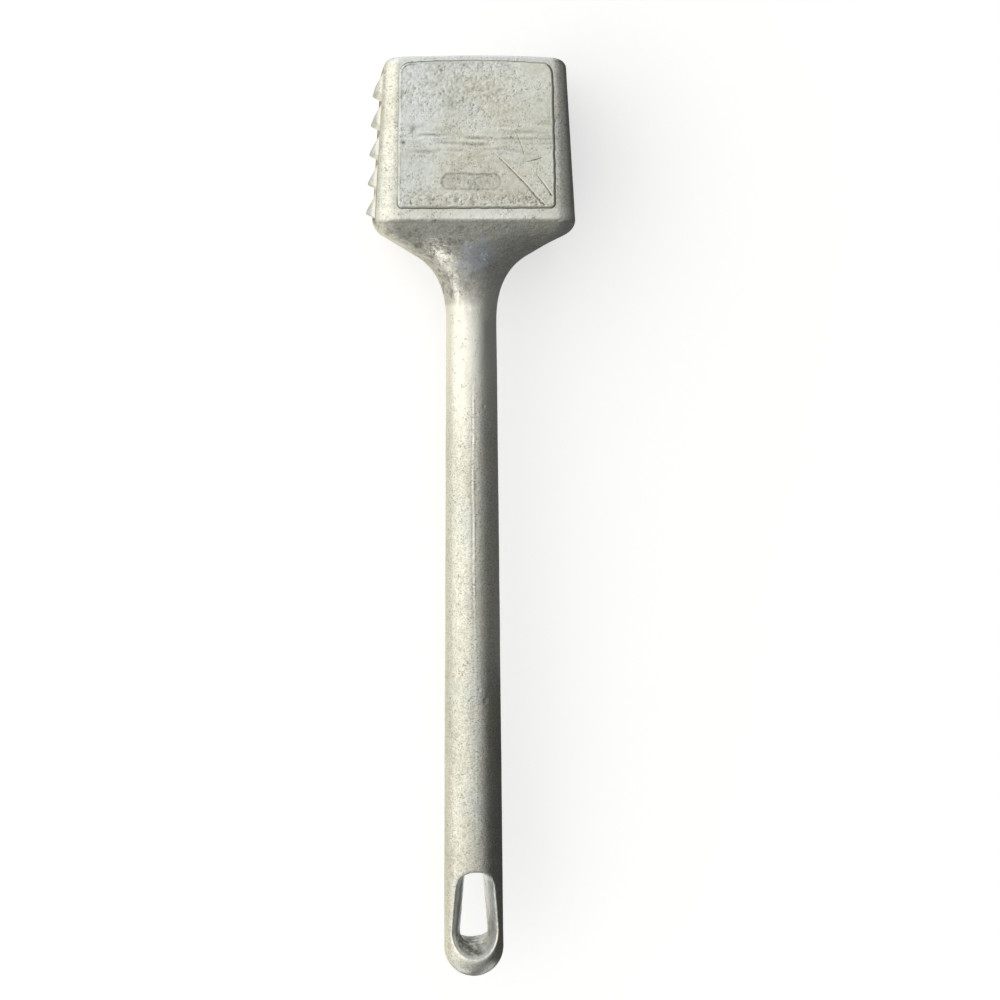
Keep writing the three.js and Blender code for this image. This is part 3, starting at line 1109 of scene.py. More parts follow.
@dataclass
class ToothedFace:
    """The striking face with rows of blunt pyramids that lean to the handle."""

    form: MalletForm
    relief: CastRelief
    name: str = "coarse_teeth"
    rows: int = 5
    columns: int = 4
    pitch: float = 8.53 * MM
    height: float = 3.2 * MM
    root_depth: float = 0.95 * MM
    rake: float = 2.7 * MM
    blunt: float = 0.3 * MM
    valley: float = 0.12 * MM
    thickness: float = 2.6 * MM
    least_step: float = 0.01
    steep_steps: int = 8
    long_steps: int = 20
    cross_steps: int = 22
    highlight_foot: float = 0.75 * MM
    highlight_edge: Ease = ease_mm(-0.25, 0.1)

    def row_places(self) -> Array:
        """Places along the face, in pitches, close together where the teeth are steep."""
        tip = -self.rake / self.pitch
        low = np.linspace(-0.5, tip, self.steep_steps + 1)
        high = np.linspace(tip, 0.5, self.long_steps + 1)[1:-1]
        one_row = np.concatenate([low, high]) + 0.5
        along = np.concatenate([one_row + row for row in range(self.rows)])
        top = (self.form.face_high_y - self.form.face_low_y) / self.pitch
        return np.append(along[along < top - self.least_step], top)

    def tooth_height(self, along: Array, cross: Array) -> Array:
        """Height of the teeth over the face's root.

        Args:
            along: places along the face, in pitches.
            cross: places across it, in teeth.

        Returns:
            One height for each pair of places.
        """
        tip = -self.rake / self.pitch
        a, b = np.meshgrid((along % 1) - 0.5, (cross % 1) - 0.5, indexing="ij")
        fall_along = np.where(a < tip, (tip - a) / (tip + 0.5), (a - tip) / (0.5 - tip))
        height = (self.height + self.blunt) * (1 - np.maximum(fall_along, np.abs(b) * 2))
        over = height - self.height + self.blunt
        height = np.where(over > 0, height - over**2 / (4 * self.blunt), height)
        return np.sqrt(height**2 + self.valley**2) - self.valley

    def build(self) -> bpy.types.Object:
        """Makes the toothed face."""
        form = self.form
        along = self.row_places()
        cross = np.linspace(0, self.columns, self.columns * self.cross_steps + 1)
        height = self.tooth_height(along, cross)
        y = form.face_low_y + self.pitch * along[:, None] + 0 * height
        column_pitch = form.face_depth / self.columns
        z = form.middle_z - form.face_depth / 2 + column_pitch * cross[None, :] + 0 * height
        x = -(form.head_half_width(y) - self.root_depth + height)
        points = np.stack([x, y, z], axis=-1)
        points[..., 0] += self.relief.depth(points.reshape(-1, 3)).reshape(x.shape)
        piece = backed_sheet(self.name, points, (self.thickness, 0, 0), False)
        # painted highlight: a bright strip at the teeth's foot, beside the frame
        foot = form.head_half_width(y) + self.highlight_foot + x
        paint(piece, "shine", self.highlight_edge.at(foot).ravel())
        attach(piece, BODY)
        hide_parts("coarse_tooth_face")
        return piece


@dataclass(frozen=True)
class WearMarks:
    """The wear of a piece: heights, and shares of soil and painted shade, of shine, which is painted
    highlight in part, and of a painted blue reflection tint.
    """

    rise: Array
    grime_and_shade: Array
    shine: Array
    blue_reflection: Array


@dataclass(frozen=True)
class Scratch:
    """A scratch on a panel, along a line that may bow to one side."""

    start: tuple[float, float]
    end: tuple[float, float]
    bow: float
    width: float
    depth: float
    lip: float
    start_ease: Ease = Ease(-0.02, 0.45)
    end_ease: Ease = Ease(1.02, 0.94)
    start_width: float = 0.6
    lip_offset: float = 1.9
    lip_width: float = 1.1
    soil_share: float = 1.1
    lip_lightening: float = 0.6
    lip_shine: float = 1.5

    def marks(self, x: Array, y: Array) -> tuple[Array, Array, Array]:
        """Relief, grime and shine of the scratch.

        Args:
            x: places across the panel.
            y: places along the handle.

        Returns:
            Heights over the panel, negative in the scratch, the shares of soil, which are negative on its
            lip where they take off other soil, and the shares of shine, a painted highlight along the lip.
        """
        start, end = np.array(self.start), np.array(self.end)
        length = float(np.linalg.norm(end - start))
        direction = (end - start) / length
        side = np.array([-direction[1], direction[0]])
        along = ((x - start[0]) * direction[0] + (y - start[1]) * direction[1]) / length
        across = (x - start[0]) * side[0] + (y - start[1]) * side[1]
        across = across - self.bow * 4 * along * (1 - along)
        taper = self.start_ease.at(along) * self.end_ease.at(along)
        width = self.width * (self.start_width + (1 - self.start_width) * np.clip(along, 0, 1))
        cut = taper * bump(across, width)
        lip = taper * bump(across - self.lip_offset * width, self.lip_width * width)
        # painted highlight: a bright line along the scratch's lip, kept clear of soil
        bright = lip * (self.lip > 0)
        grime_and_shade = self.soil_share * cut - self.lip_lightening * bright
        return self.lip * lip - self.depth * cut, grime_and_shade, self.lip_shine * bright


@dataclass(frozen=True)
class Spot:
    """A stain or a dark pit on a panel."""

    x: float
    y: float
    reach: float
    depth: float
    raggedness: float = 0.5
    cell_share: float = 0.7
    seed: int = 81

    def share(self, x: Array, y: Array, places: Array) -> Array:
        """Share of grime over the panel.

        Args:
            x: places across the panel.
            y: places along the handle.
            places: the same places as rows, for the spot's ragged edge.

        Returns:
            The shares, in the layout of the places.
        """
        noise = soft_noise(places, self.cell_share * self.reach, self.seed).reshape(x.shape)
        distance = np.hypot(x - self.x, y - self.y)
        return self.depth * bump(distance, self.reach) * (1 + self.raggedness * noise)


@dataclass(frozen=True)
class Recess:
    """The shallow round-ended recess low on the front panel, mottled with soil, with a thin dark line of
    painted shade just inside its edge.
    """

    x: float = -1.65 * MM
    y: float = -11.75 * MM
    length: float = 16.8 * MM
    height: float = 4.7 * MM
    depth: float = 0.06 * MM
    wall: Ease = ease_mm(0.3, -0.6)
    ragged: Grain = Grain(((0.14 * MM, 1.6 * MM, 48),))
    soil_share: float = 0.19
    soil_edge: Ease = ease_mm(0.3, -0.4)
    mottle: Grain = Grain(((0.8, 1.1 * MM, 49), (0.8, 0.55 * MM, 50)))
    outline_share: float = 0.34
    outline_inset: float = 0.25 * MM
    outline_width: float = 0.3 * MM

    def marks(self, x: Array, y: Array, places: Array) -> tuple[Array, Array]:
        """Depth of the recess, the soil in it and the painted shade just inside its edge.

        Args:
            x: places across the panel.
            y: places along the handle.
            places: the same places as rows.

        Returns:
            Depths under the panel and shares of grime, in the layout of the places.
        """
        along = np.maximum(np.abs(x - self.x) - self.length / 2 + self.height / 2, 0)
        reach = np.hypot(along, y - self.y) - self.height / 2 + self.ragged.at(places).reshape(x.shape)
        grime_and_shade = self.soil_share * self.soil_edge.at(reach) * (1 + self.mottle.at(places).reshape(x.shape))
        # painted shade: a thin dark line just inside the recess's edge
        grime_and_shade += self.outline_share * bump(reach + self.outline_inset, self.outline_width)
        return self.depth * self.wall.at(reach), grime_and_shade


@dataclass(frozen=True)
class DragRidges:
    """The fine ridges that lie across the middle of a panel."""

    middle_y: float = 0.2 * MM
    band_width: float = 5.8 * MM
    drift: Grain = Grain(((0.35 * MM, 6 * MM, 40),))
    streaks: Grain = Grain(((0.6, (8 * MM, 0.75 * MM, 9 * MM), 44), (0.6, (5 * MM, 0.55 * MM, 9 * MM), 45)))
    wave_length: float = 1.75 * MM
    wave_share: float = 0.8
    wave_drift: Grain = Grain(((1.1 * MM, (7 * MM, 5 * MM, 9 * MM), 52),))
    wave_breaks: Grain = Grain(((1.0, (4.5 * MM, 1.3 * MM, 9 * MM), 53),))
    break_edge: Ease = Ease(-0.35, 0.55)
    depth: float = 0.045 * MM
    soil_share: float = 0.4
    soil_start: float = 0.05
    shine_share: float = 0.6
    shine_edge: Ease = Ease(0.35, 1.0)

    def marks(self, y: Array, places: Array) -> tuple[Array, Array, Array]:
        """Depth of the ridges, and the shares that darken their grooves and lighten their tops.

        Args:
            y: places along the handle.
            places: the panel's places as rows.

        Returns:
            Depths under the panel and shares of grime and shine, in the layout of y.
        """
        drifted = places.copy()
        drifted[:, 1] += self.drift.at(places)
        drag = self.streaks.at(drifted).reshape(y.shape)
        wave = np.sin(math.tau * (y + self.wave_drift.at(places).reshape(y.shape)) / self.wave_length)
        drag += self.wave_share * wave * self.break_edge.at(self.wave_breaks.at(places)).reshape(y.shape)
        band = bump(y - self.middle_y, self.band_width)
        grime_and_shade = self.soil_share * band * np.maximum(drag - self.soil_start, 0)
        return self.depth * band * drag, grime_and_shade, self.shine_share * band * self.shine_edge.at(-drag)


@dataclass(frozen=True)
class PanelPits:
    """Pits of one size on a panel, with more of them near the crown and at the foot."""

    cell: float
    seed: int
    depth: float
    base_cover: float
    upper_cover: float
    foot_cover: float
    soil_share: float = 0.42
    foot_soil: float = 0.2
    soil_power: float = 1.5

    def marks(self, upper: Array, foot: Array, places: Array) -> tuple[Array, Array]:
        """Depth of the pits and the grime in them.

        Args:
            upper: how far each place belongs to the panel's rough upper part.
            foot: how far it belongs to the foot.
            places: the panel's places as rows.

        Returns:
            Depths under the panel and shares of grime, in the layout of the zones.
        """
        cover = self.base_cover + self.upper_cover * upper + self.foot_cover * foot
        pits = pit_depth(places, self.cell, cover.ravel(), self.seed).reshape(upper.shape)
        return self.depth * pits, (self.soil_share + self.foot_soil * foot) * pits**self.soil_power


@dataclass(frozen=True)
class PanelWear:
    """Where a panel is rough, pitted and ridged, with painted glints and a painted blue reflection tint
    towards its upper left.
    """

    swell: Grain = Grain(((4 * MM, 4.5 * MM, 46),))
    upper_start: Ease = ease_mm(5, 9)
    upper_side: Ease = ease_mm(19, 3)
    foot_start: Ease = ease_mm(-13, -17)
    calm_side: Ease = ease_mm(6, 15)
    rough_base: float = 0.45
    rough_upper: float = 0.5
    rough_foot: float = 0.8
    rough_calm: float = 0.22
    rough_most: float = 1.2
    waves: Grain = Grain(((0.05 * MM, 9 * MM, 41),))
    waves_depth: float = 0.05 * MM
    coarse: Grain = Grain(((1.0, 1.5 * MM, 42),))
    coarse_depth: float = 0.022 * MM
    coarse_soil: float = 0.22
    coarse_start: float = 0.1
    fine: Grain = Grain(((1.0, 0.6 * MM, 43), (0.9, 0.42 * MM, 47)))
    fine_depth: float = 0.03 * MM
    fine_mean: float = 1.9
    fine_soil: float = 0.36
    fine_shine: float = 0.9
    shine_edge: Ease = Ease(0.4, 1.0)
    ridges: DragRidges = DragRidges()
    pits: tuple[PanelPits, ...] = (
        PanelPits(1.25 * MM, 51, 0.09 * MM, 0.05, 0.28, 0.3),
        PanelPits(0.8 * MM, 61, 0.06 * MM, 0.06, 0.3, 0.35),
    )
    blue_reflection_share: float = 0.5
    blue_reflection_slant: float = 0.8
    blue_reflection_edge: Ease = ease_mm(0, 22)
    left_blue_reflection: float = 0.15
    left_edge: Ease = ease_mm(5, 18)

    def marks(self, x: Array, y: Array, places: Array) -> WearMarks:
        """Relief and colour of the wear.

        Args:
            x: places across the panel, as seen from outside it.
            y: places along the handle.
            places: the same places as rows.

        Returns:
            Heights over the flat panel, and shares of soil, of shine with painted glints, and of the
            painted blue reflection tint.
        """
        swell = self.swell.at(places).reshape(x.shape)
        upper = self.upper_start.at(y + swell) * self.upper_side.at(x + swell)
        foot = self.foot_start.at(y + swell / 2)
        calm = self.calm_side.at(x) * (1 - foot)
        rough = self.rough_base + self.rough_upper * upper + self.rough_foot * foot - self.rough_calm * calm
        rough = np.clip(rough, 0, self.rough_most)
        fine = self.fine.at(places).reshape(x.shape)
        coarse = self.coarse.at(places).reshape(x.shape)
        sunk, grime_and_shade, shine = self.ridges.marks(y, places)
        sunk += self.waves_depth + self.waves.at(places).reshape(x.shape)
        sunk += self.coarse_depth * (1 + coarse) + self.fine_depth * rough * (self.fine_mean + fine)
        grime_and_shade += rough * self.fine_soil * np.maximum(fine, 0)
        grime_and_shade += rough * self.coarse_soil * np.maximum(coarse - self.coarse_start, 0)
        # painted glints: light specks where the fine grain is low, more of them where the panel is rough
        shine += rough * self.fine_shine * self.shine_edge.at(-fine)
        for pits in self.pits:
            depth, soil = pits.marks(upper, foot, places)
            sunk += depth
            grime_and_shade += soil
        # painted reflection: a blue tint that grows towards the panel's upper left and along its left side
        blue_reflection = self.blue_reflection_share * self.blue_reflection_edge.at(self.blue_reflection_slant * y + 2 * swell - x)
        blue_reflection += self.left_blue_reflection * self.left_edge.at(-x)
        return WearMarks(-sunk, grime_and_shade, shine, np.clip(blue_reflection, 0, 1))


@dataclass(frozen=True)
class PanelRim:
    """The worn and soiled edge of a panel, with a dark line of painted shade at its foot that is weaker on
    the side lit from the left.
    """

    ragged: Grain = Grain(((1.0, 2.2 * MM, 71),))
    raggedness: float = 0.1 * MM
    bevel: float = 0.5 * MM
    bevel_edge: Ease = ease_mm(-0.65, 0.1)
    sink: float = 0.4 * MM
    wall: Ease = ease_mm(-0.05, 0.35)
    inside: Ease = ease_mm(0, -0.8)
    least_relief: float = 0.3
    lit_side: Ease = ease_mm(12, -19)
    lit_foot: Ease = ease_mm(-17.5, -15)
    lit_loss: float = 0.6
    crown: Ease = ease_mm(-1.2, -0.2)
    foot: Ease = ease_mm(-0.3, 0.1)
    brow_share: float = 0.6
    brow_inset: float = 0.62 * MM
    brow_width: float = 0.2 * MM
    brow_mean: float = 0.35
    shade_share: float = 0.25
    shade_inset: float = 0.35 * MM
    shade_width: float = 0.3 * MM

    def fall(self, distance: Array, panel_rise: float) -> Array:
        """How far the rim falls under the panel's flat face.

        Args:
            distance: distance outside the panel's outline.
            panel_rise: how proud the panel stands.

        Returns:
            The depths.
        """
        wall = (panel_rise - self.bevel + self.sink) * self.wall.at(distance)
        return self.bevel * self.bevel_edge.at(distance) + wall

    def soil(self, distance: Array, under_crown: Array, lit: Array, ragged: Array) -> Array:
        """Shares of painted shade in a dark line at the rim's foot, weaker on the lit side, and of two
        darker lines just inside the rim on the lit side.

        Args:
            distance: distance outside the panel's outline.
            under_crown: heights over the panel's corners at the crown.
            lit: how far each place lies in the light of the left.
            ragged: the rim's noise.

        Returns:
            The shares.
        """
        # painted shade: the dark line at the foot, lighter where the left light falls, except along the
        # crown's edge
        foot = self.foot.at(distance) * (1 - self.lit_loss * lit * (1 - self.crown.at(under_crown)))
        brow = bump(distance + self.brow_inset, self.brow_width) * lit
        brow *= np.maximum(ragged + self.brow_mean, 0)
        shade = self.shade_share * lit * bump(distance + self.shade_inset, self.shade_width)
        return foot + self.brow_share * brow + shade


@dataclass
class CheekPanel:
    """The raised plate on a cheek, with its bevelled rim."""

    form: MalletForm
    cheek: Cheek
    name: str
    node: str
    crown_width: float = 42.4 * MM
    shoulder_width: float = 44.4 * MM
    crown_margin: float = 0.2 * MM
    shoulder_margin: float = 3.5 * MM
    crown_corner: float = 2.8 * MM
    shoulder_corner: float = 1.4 * MM
    bow: float = 0.8 * MM
    overlap: float = 0.45 * MM
    rim_steps: int = 14
    rim_width: float = 1.9 * MM
    inner_step: float = 0.175 * MM
    lift_power: int = 3
    thickness: float = 2.0 * MM
    noise_level: float = 7 * MM
    rim: PanelRim = PanelRim()
    wear: PanelWear = PanelWear()
    recess: Recess | None = None
    scratches: tuple[Scratch, ...] = ()
    spots: tuple[Spot, ...] = ()

    @property
    def low_y(self) -> float:
        """The panel's edge at the shoulder."""
        return self.form.shoulder_y + self.shoulder_margin

    @property
    def high_y(self) -> float:
        """The panel's corners at the crown."""
        return self.form.cheek_edge_y - self.crown_margin - self.bow

    def half_width(self, y: Array) -> Array:
        """Half the panel's width at a height."""
        share = (y - self.low_y) / (self.high_y - self.low_y)
        return (self.shoulder_width + (self.crown_width - self.shoulder_width) * share) / 2

    def crown_edge(self, x: Array) -> Array:
        """The panel's bowed edge at the crown."""
        return self.high_y + self.bow * (1 - (x / (self.crown_width / 2)) ** 2)

    def edge_distance(self, x: Array, y: Array) -> Array:
        """Distance outside the panel's outline, negative inside it."""
        height_share = np.clip((y - self.low_y) / (self.high_y - self.low_y), 0, 1)
        radius = self.shoulder_corner + (self.crown_corner - self.shoulder_corner) * height_share
        out_x = np.abs(x) - self.half_width(y) + radius
        out_y = np.maximum(y - self.crown_edge(x), self.low_y - y) + radius
        outside = np.hypot(np.maximum(out_x, 0), np.maximum(out_y, 0))
        return outside + np.minimum(np.maximum(out_x, out_y), 0) - radius

    def shares(self, length: float) -> Array:
        """Places from 0 to 1 across the panel, close together at both rims."""
        rim = np.linspace(0, self.rim_width, self.rim_steps + 1) / length
        steps = round((length - 2 * self.rim_width) / self.inner_step)
        inner = np.linspace(rim[-1], 1 - rim[-1], steps + 1)[1:-1]
        return np.concatenate([rim, inner, 1 - rim[::-1]])

    def grid(self) -> tuple[Array, Array]:
        """Places across and along the panel, in rows that run across it."""
        across = 2 * self.shares(self.shoulder_width + 2 * self.overlap) - 1
        height = self.high_y - self.low_y + 2 * self.overlap
        along = self.shares(height)
        y = self.low_y - self.overlap + height * along[:, None]
        x = across[None, :] * (self.half_width(y) + self.overlap)
        y = y + (self.crown_edge(x) - self.high_y) * along[:, None] ** self.lift_power
        return x, y + 0 * x

    def marks(self, x: Array, y: Array) -> WearMarks:
        """Relief and colour of the panel's wear.

        Args:
            x: places across the panel, as seen from outside it.
            y: places along the handle.

        Returns:
            Heights over the flat panel, and shares of soil and painted shade, of shine with painted
            highlights and glints, and of the painted blue reflection tint.
        """
        level = np.full(x.size, self.noise_level * self.cheek.value)
        places = np.stack([x.ravel(), y.ravel(), level], axis=-1)
        worn = self.wear.marks(x, y, places)
        rise, grime_and_shade, shine = worn.rise, worn.grime_and_shade, worn.shine
        if self.recess:
            depth, soil = self.recess.marks(x, y, places)
            rise -= depth
            grime_and_shade += soil
        for spot in self.spots:
            grime_and_shade += spot.share(x, y, places)
        for scratch in self.scratches:
            cut, soil, bright = scratch.marks(x, y)
            rise += cut
            grime_and_shade += soil
            shine += bright
        return WearMarks(np.minimum(rise, 0), grime_and_shade, shine, worn.blue_reflection)

    def build(self) -> bpy.types.Object:
        """Makes the panel as a sheet whose edge runs under the cheek's skin, with a back."""
        form, rim, sign = self.form, self.rim, self.cheek.value
        x, y = self.grid()
        ragged = rim.ragged.at(np.stack([x.ravel(), y.ravel(), 0 * x.ravel()], axis=-1)).reshape(x.shape)
        distance = self.edge_distance(x, y) + rim.raggedness * ragged
        marks = self.marks(x * sign, y)
        inside = rim.inside.at(distance)
        relief = marks.rise * (rim.least_relief + (1 - rim.least_relief) * inside)
        z = form.head_depth / 2 + form.panel_rise - rim.fall(distance, form.panel_rise) + relief
        lit = rim.lit_side.at(x * sign) * rim.lit_foot.at(y)
        # the rim adds painted shade at the panel's foot
        grime_and_shade = np.maximum(marks.grime_and_shade, 0) * inside + rim.soil(distance, y - self.high_y, lit, ragged)
        points = np.stack([x * sign, y, form.middle_z + z * sign], axis=-1)
        piece = backed_sheet(self.name, points, (0, 0, -sign * self.thickness), False)
        paint(piece, "grime_and_shade", grime_and_shade.ravel())
        paint(piece, "shine", (marks.shine * inside).ravel())
        paint(piece, "blue_reflection", marks.blue_reflection.ravel())
        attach(piece, BODY)
        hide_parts(self.node)
        return piece


@dataclass(frozen=True)
class EyeWear:
    """How the eye's wall is speckled and soiled, with painted shade and painted highlights on its walls and
    lip, and a painted blue reflection tint.
    """

    wall: Ease = ease_mm(0.3, 1.0)
    seam_facing: Ease = Ease(0.5, 0.9)
    rough: float = 0.06 * MM
    specks: Grain = Grain(((1.0, 1.1 * MM, 91), (0.8, 0.6 * MM, 92)))
    lowest_level: float = -1.0
    highest_level: float = 1.6
    low_end: Ease = ease_mm(17, 13)
    left_side: Ease = ease_mm(0.5, -2.5)
    right_side: Ease = ease_mm(0.5, 2.5)
    right_loss: float = 0.5
    bowl_side: Ease = ease_mm(0, 4.5)
    bowl_loss: float = 0.7
    bowl_depth: Ease = ease_mm(1.2, 2.6)
    bowl_mean: float = 0.75
    bowl_specks: float = 0.5
    shade_share: float = 0.55
    shade_start: Ease = Ease(0.35, 0.6)
    streak_share: float = 0.35
    streak_start: Ease = Ease(0.4, 0.55)
    streak_stop: Ease = Ease(0.85, 0.65)
    right_shade: float = 0.28
    right_start: Ease = Ease(0.72, 0.85)
    lip_depth: float = 0.5 * MM
    lip_width: float = 0.7 * MM
    lip_reach: Ease = ease_mm(1.8, 0.6)
    lip_end: Ease = ease_mm(20, 14)
    band_share: float = 1.2
    band_level: float = 0.55
    band_width: float = 0.16
    waist_width: float = 0.2
    waist_low: float = 0.8
    left_blue_reflection: float = 1.2
    right_blue_reflection: Ease = Ease(0.65, 0.8)
    low_blue_reflection: float = 0.4


@dataclass
class HangingEye:
    """The handle's round end with its teardrop eye."""

    form: MalletForm
    skin: CastingSkin
    name: str = "hanging_loop"
    wear: EyeWear = EyeWear()
    small_diameter: float = 6.2 * MM
    large_diameter: float = 9.0 * MM
    length: float = 25.4 * MM
    tip_wall: float = 10.0 * MM
    flare_depth: float = 6.0 * MM
    flare_side: float = 3.1 * MM
    flare_end: float = 0.8 * MM
    flare_power: float = 1.7
    narrow_share: float = 0.8
    waist_allowance: float = 0.28 * MM
    cutter_margin: float = 2 * MM
    end_turn: float = 0.97 * math.pi / 2
    rim_round: float = 1.0 * MM
    rim_smoothings: int = 14
    run_on: float = 3.0 * MM
    arc_steps: int = 24
    sides: int = 160
    round_steps: int = 40
    flare_steps: int = 14
    voxel: float = 0.3 * MM
    smoothings: int = 3
    smoothing: float = 0.5

    def teardrop(self, z: Array | float) -> tuple:
        """The eye's outline at a height over its waist.

        Args:
            z: the height.

        Returns:
            Radius and place along the handle of its large end, and the same for its small end.
        """
        form = self.form
        share = (np.abs(z) / self.flare_depth) ** self.flare_power
        side, end = self.flare_side * share, self.flare_end * share
        low_radius = self.large_diameter / 2 + side - self.waist_allowance
        high_radius = self.small_diameter / 2 + self.narrow_share * side - self.waist_allowance
        low_y = form.tip_y + self.tip_wall - end + low_radius + self.waist_allowance
        high_y = form.tip_y + self.tip_wall + self.length + end - high_radius - self.waist_allowance
        return low_radius, low_y, high_radius, high_y

    def distance(self, points: Array) -> Array:
        """How far outside the eye's outline places lie, measured level; negative inside it."""
        low_radius, low_y, high_radius, high_y = self.teardrop(points[:, 2] - self.form.middle_z)
        height = high_y - low_y
        lean = (low_radius - high_radius) / height
        straight = np.sqrt(1 - lean**2)
        x, y = np.abs(points[:, 0]), points[:, 1] - low_y
        place = y * straight - x * lean
        side = x * straight + y * lean - low_radius
        low = np.hypot(x, y) - low_radius
        high = np.hypot(x, y - height) - high_radius
        return np.where(place < 0, low, np.where(place > straight * height, high, side))

    def under_skin(self, points: Array) -> Array:
        """How far places lie under the handle's round skin."""
        form = self.form
        tube = form.handle_radius(points[:, 1]) - np.hypot(points[:, 0], points[:, 2] - form.middle_z)
        from_middle = points - np.array([0, form.round_end_y, form.middle_z])
        ball = form.handle_end_diameter / 2 - np.linalg.norm(from_middle, axis=1)
        return np.where(points[:, 1] < form.round_end_y, ball, tube)

    def ring(self, z: float) -> Array:
        """A teardrop ring of the eye at a height over its waist."""
        low_radius, low_y, high_radius, high_y = self.teardrop(z)
        lean = math.asin((low_radius - high_radius) / (high_y - low_y))
        upper = np.linspace(lean, math.pi - lean, self.arc_steps + 1)
        lower = np.linspace(math.pi - lean, 2 * math.pi + lean, self.arc_steps + 1)
        x = np.concatenate([high_radius * np.cos(upper), low_radius * np.cos(lower)])
        y = np.concatenate([high_y + high_radius * np.sin(upper), low_y + low_radius * np.sin(lower)])
        return np.stack([x, y, np.full_like(x, self.form.middle_z + z)], axis=-1)

    def closed(self, name: str, rings: Array) -> bpy.types.Object:
        """Makes a closed solid from rings."""
        solid = mesh_object(name, rings.reshape(-1, 3), ring_faces(*rings.shape[:2]))
        shape = bmesh.new()
        shape.from_mesh(solid.data)
        bmesh.ops.recalc_face_normals(shape, faces=shape.faces)
        shape.to_mesh(solid.data)
        shape.free()
        return solid

    def handle_end(self) -> bpy.types.Object:
        """Makes the round end without its eye."""
        form = self.form
        radius = form.handle_end_diameter / 2
        angle = np.linspace(0, self.end_turn, self.round_steps)
        top_y = form.eye_section_y + self.run_on
        y = np.concatenate([[top_y], form.round_end_y - radius * np.sin(angle)])
        reach = np.concatenate([[form.handle_radius(top_y)], radius * np.cos(angle)])
        turn = np.linspace(0, 2 * math.pi, self.sides, endpoint=False)[None, :]
        x, z = reach[:, None] * np.cos(turn), reach[:, None] * np.sin(turn)
        return self.closed("eye_blank", np.stack([x, y[:, None] + 0 * x, form.middle_z + z], axis=-1))

    def cut_end(self) -> bpy.types.Mesh:
        """Cuts the eye out of the round end and lays an even mesh over it."""
        blank = self.handle_end()
        reach = self.form.handle_end_diameter / 2 + self.cutter_margin
        heights = reach * np.linspace(1, -1, 2 * self.flare_steps + 1)
        cutter = self.closed("eye_cutter", np.stack([self.ring(z) for z in heights]))
        cut = blank.modifiers.new("eye", "BOOLEAN")
        cut.operation, cut.solver, cut.object = "DIFFERENCE", "EXACT", cutter
        melt = blank.modifiers.new("melt", "REMESH")
        melt.mode, melt.voxel_size, melt.use_smooth_shade = "VOXEL", self.voxel, True
        graph = bpy.context.evaluated_depsgraph_get()
        mesh = bpy.data.meshes.new_from_object(blank.evaluated_get(graph))
        for used in (blank, cutter):
            bpy.data.objects.remove(used)
        return mesh

    def smooth(self, shape: bmesh.types.BMesh, corners: list, rounds: int) -> None:
        """Draws points towards their neighbours a number of times.

        Args:
            shape: the mesh under work.
            corners: the points to draw.
            rounds: how many times.
        """
        for _ in range(rounds):
            bmesh.ops.smooth_vert(
                shape,
                verts=corners,
                factor=self.smoothing,
                use_axis_x=True,
                use_axis_y=True,
                use_axis_z=True,
            )

    def melted(self, mesh: bpy.types.Mesh) -> bmesh.types.BMesh:
        """Melts the eye's edges round and takes off the stretch that the shank holds."""
        shape = bmesh.new()
        shape.from_mesh(mesh)
        self.smooth(shape, list(shape.verts), self.smoothings)
        places = np.array([vertex.co[:] for vertex in shape.verts])
        off_rim = np.hypot(self.distance(places), self.under_skin(places))
        shape.verts.ensure_lookup_table()
        rim = [shape.verts[number] for number in np.flatnonzero(off_rim < self.rim_round)]
        self.smooth(shape, rim, self.rim_smoothings)
        bmesh.ops.bisect_plane(
            shape,
            geom=list(shape.verts) + list(shape.edges) + list(shape.faces),
            plane_co=(0, self.form.eye_section_y, 0),
            plane_no=(0, 1, 0),
            clear_outer=True,
        )
        shape.normal_update()
        return shape

    def marks(self, points: Array, normals: Array) -> WearMarks:
        """Relief and colour of the round end and the eye's wall.

        Args:
            points: the smooth end's points, one row each.
            normals: their outward directions.

        Returns:
            Heights over the smooth end, and shares of soil and painted shade, of shine as painted
            highlight, and of the painted blue reflection tint.
        """
        form, skin, wear = self.form, self.skin, self.wear
        x, over_tip = points[:, 0], points[:, 1] - form.tip_y
        under = self.under_skin(points)
        wall = wear.wall.at(under)
        specks = wear.specks.at(points)
        rise = skin.seam.rise(form, points) * wear.seam_facing.at(np.abs(normals[:, 2]))
        rise -= skin.relief.depth(points) + skin.wear.sink(form, points) * (1 - wall)
        rise += wear.rough * wall * specks
        level = (points[:, 2] - form.middle_z) / self.flare_depth
        level = np.clip(level, wear.lowest_level, wear.highest_level)
        low = wear.low_end.at(over_tip)
        left = wear.left_side.at(x) * (1 - low)
        right = wear.right_side.at(x) * (1 - wear.right_loss * low)
        bowl = low * (1 - wear.bowl_loss * wear.bowl_side.at(x)) * wear.bowl_depth.at(under)
        # painted shade: the left wall darker in bands up its height
        shade = wear.shade_share * wear.shade_start.at(level)
        shade += wear.streak_share * wear.streak_stop.at(level) * wear.streak_start.at(level)
        grime_and_shade = skin.wear.soil(form, points) * (1 - wall) + wall * left * shade
        # darker and mottled in the bowl at the eye's low end
        grime_and_shade += bowl * (wear.bowl_mean + wear.bowl_specks * specks)
        # painted shade: a darker band on the right wall near its front rim
        grime_and_shade += wear.right_shade * wall * right * wear.right_start.at(level)
        # painted highlights: a bright lip round the eye's low end, a bright band on the right wall, and a
        # light band at the waist on the left and in the bowl
        lip = bump(under - wear.lip_depth, wear.lip_width) * wear.lip_reach.at(self.distance(points))
        band = wear.band_share * wall * right * bump(level - wear.band_level, wear.band_width)
        waist = wall * bump(level, wear.waist_width) * (left + wear.waist_low * low * (1 + specks))
        shine = lip * wear.lip_end.at(over_tip) + band + waist
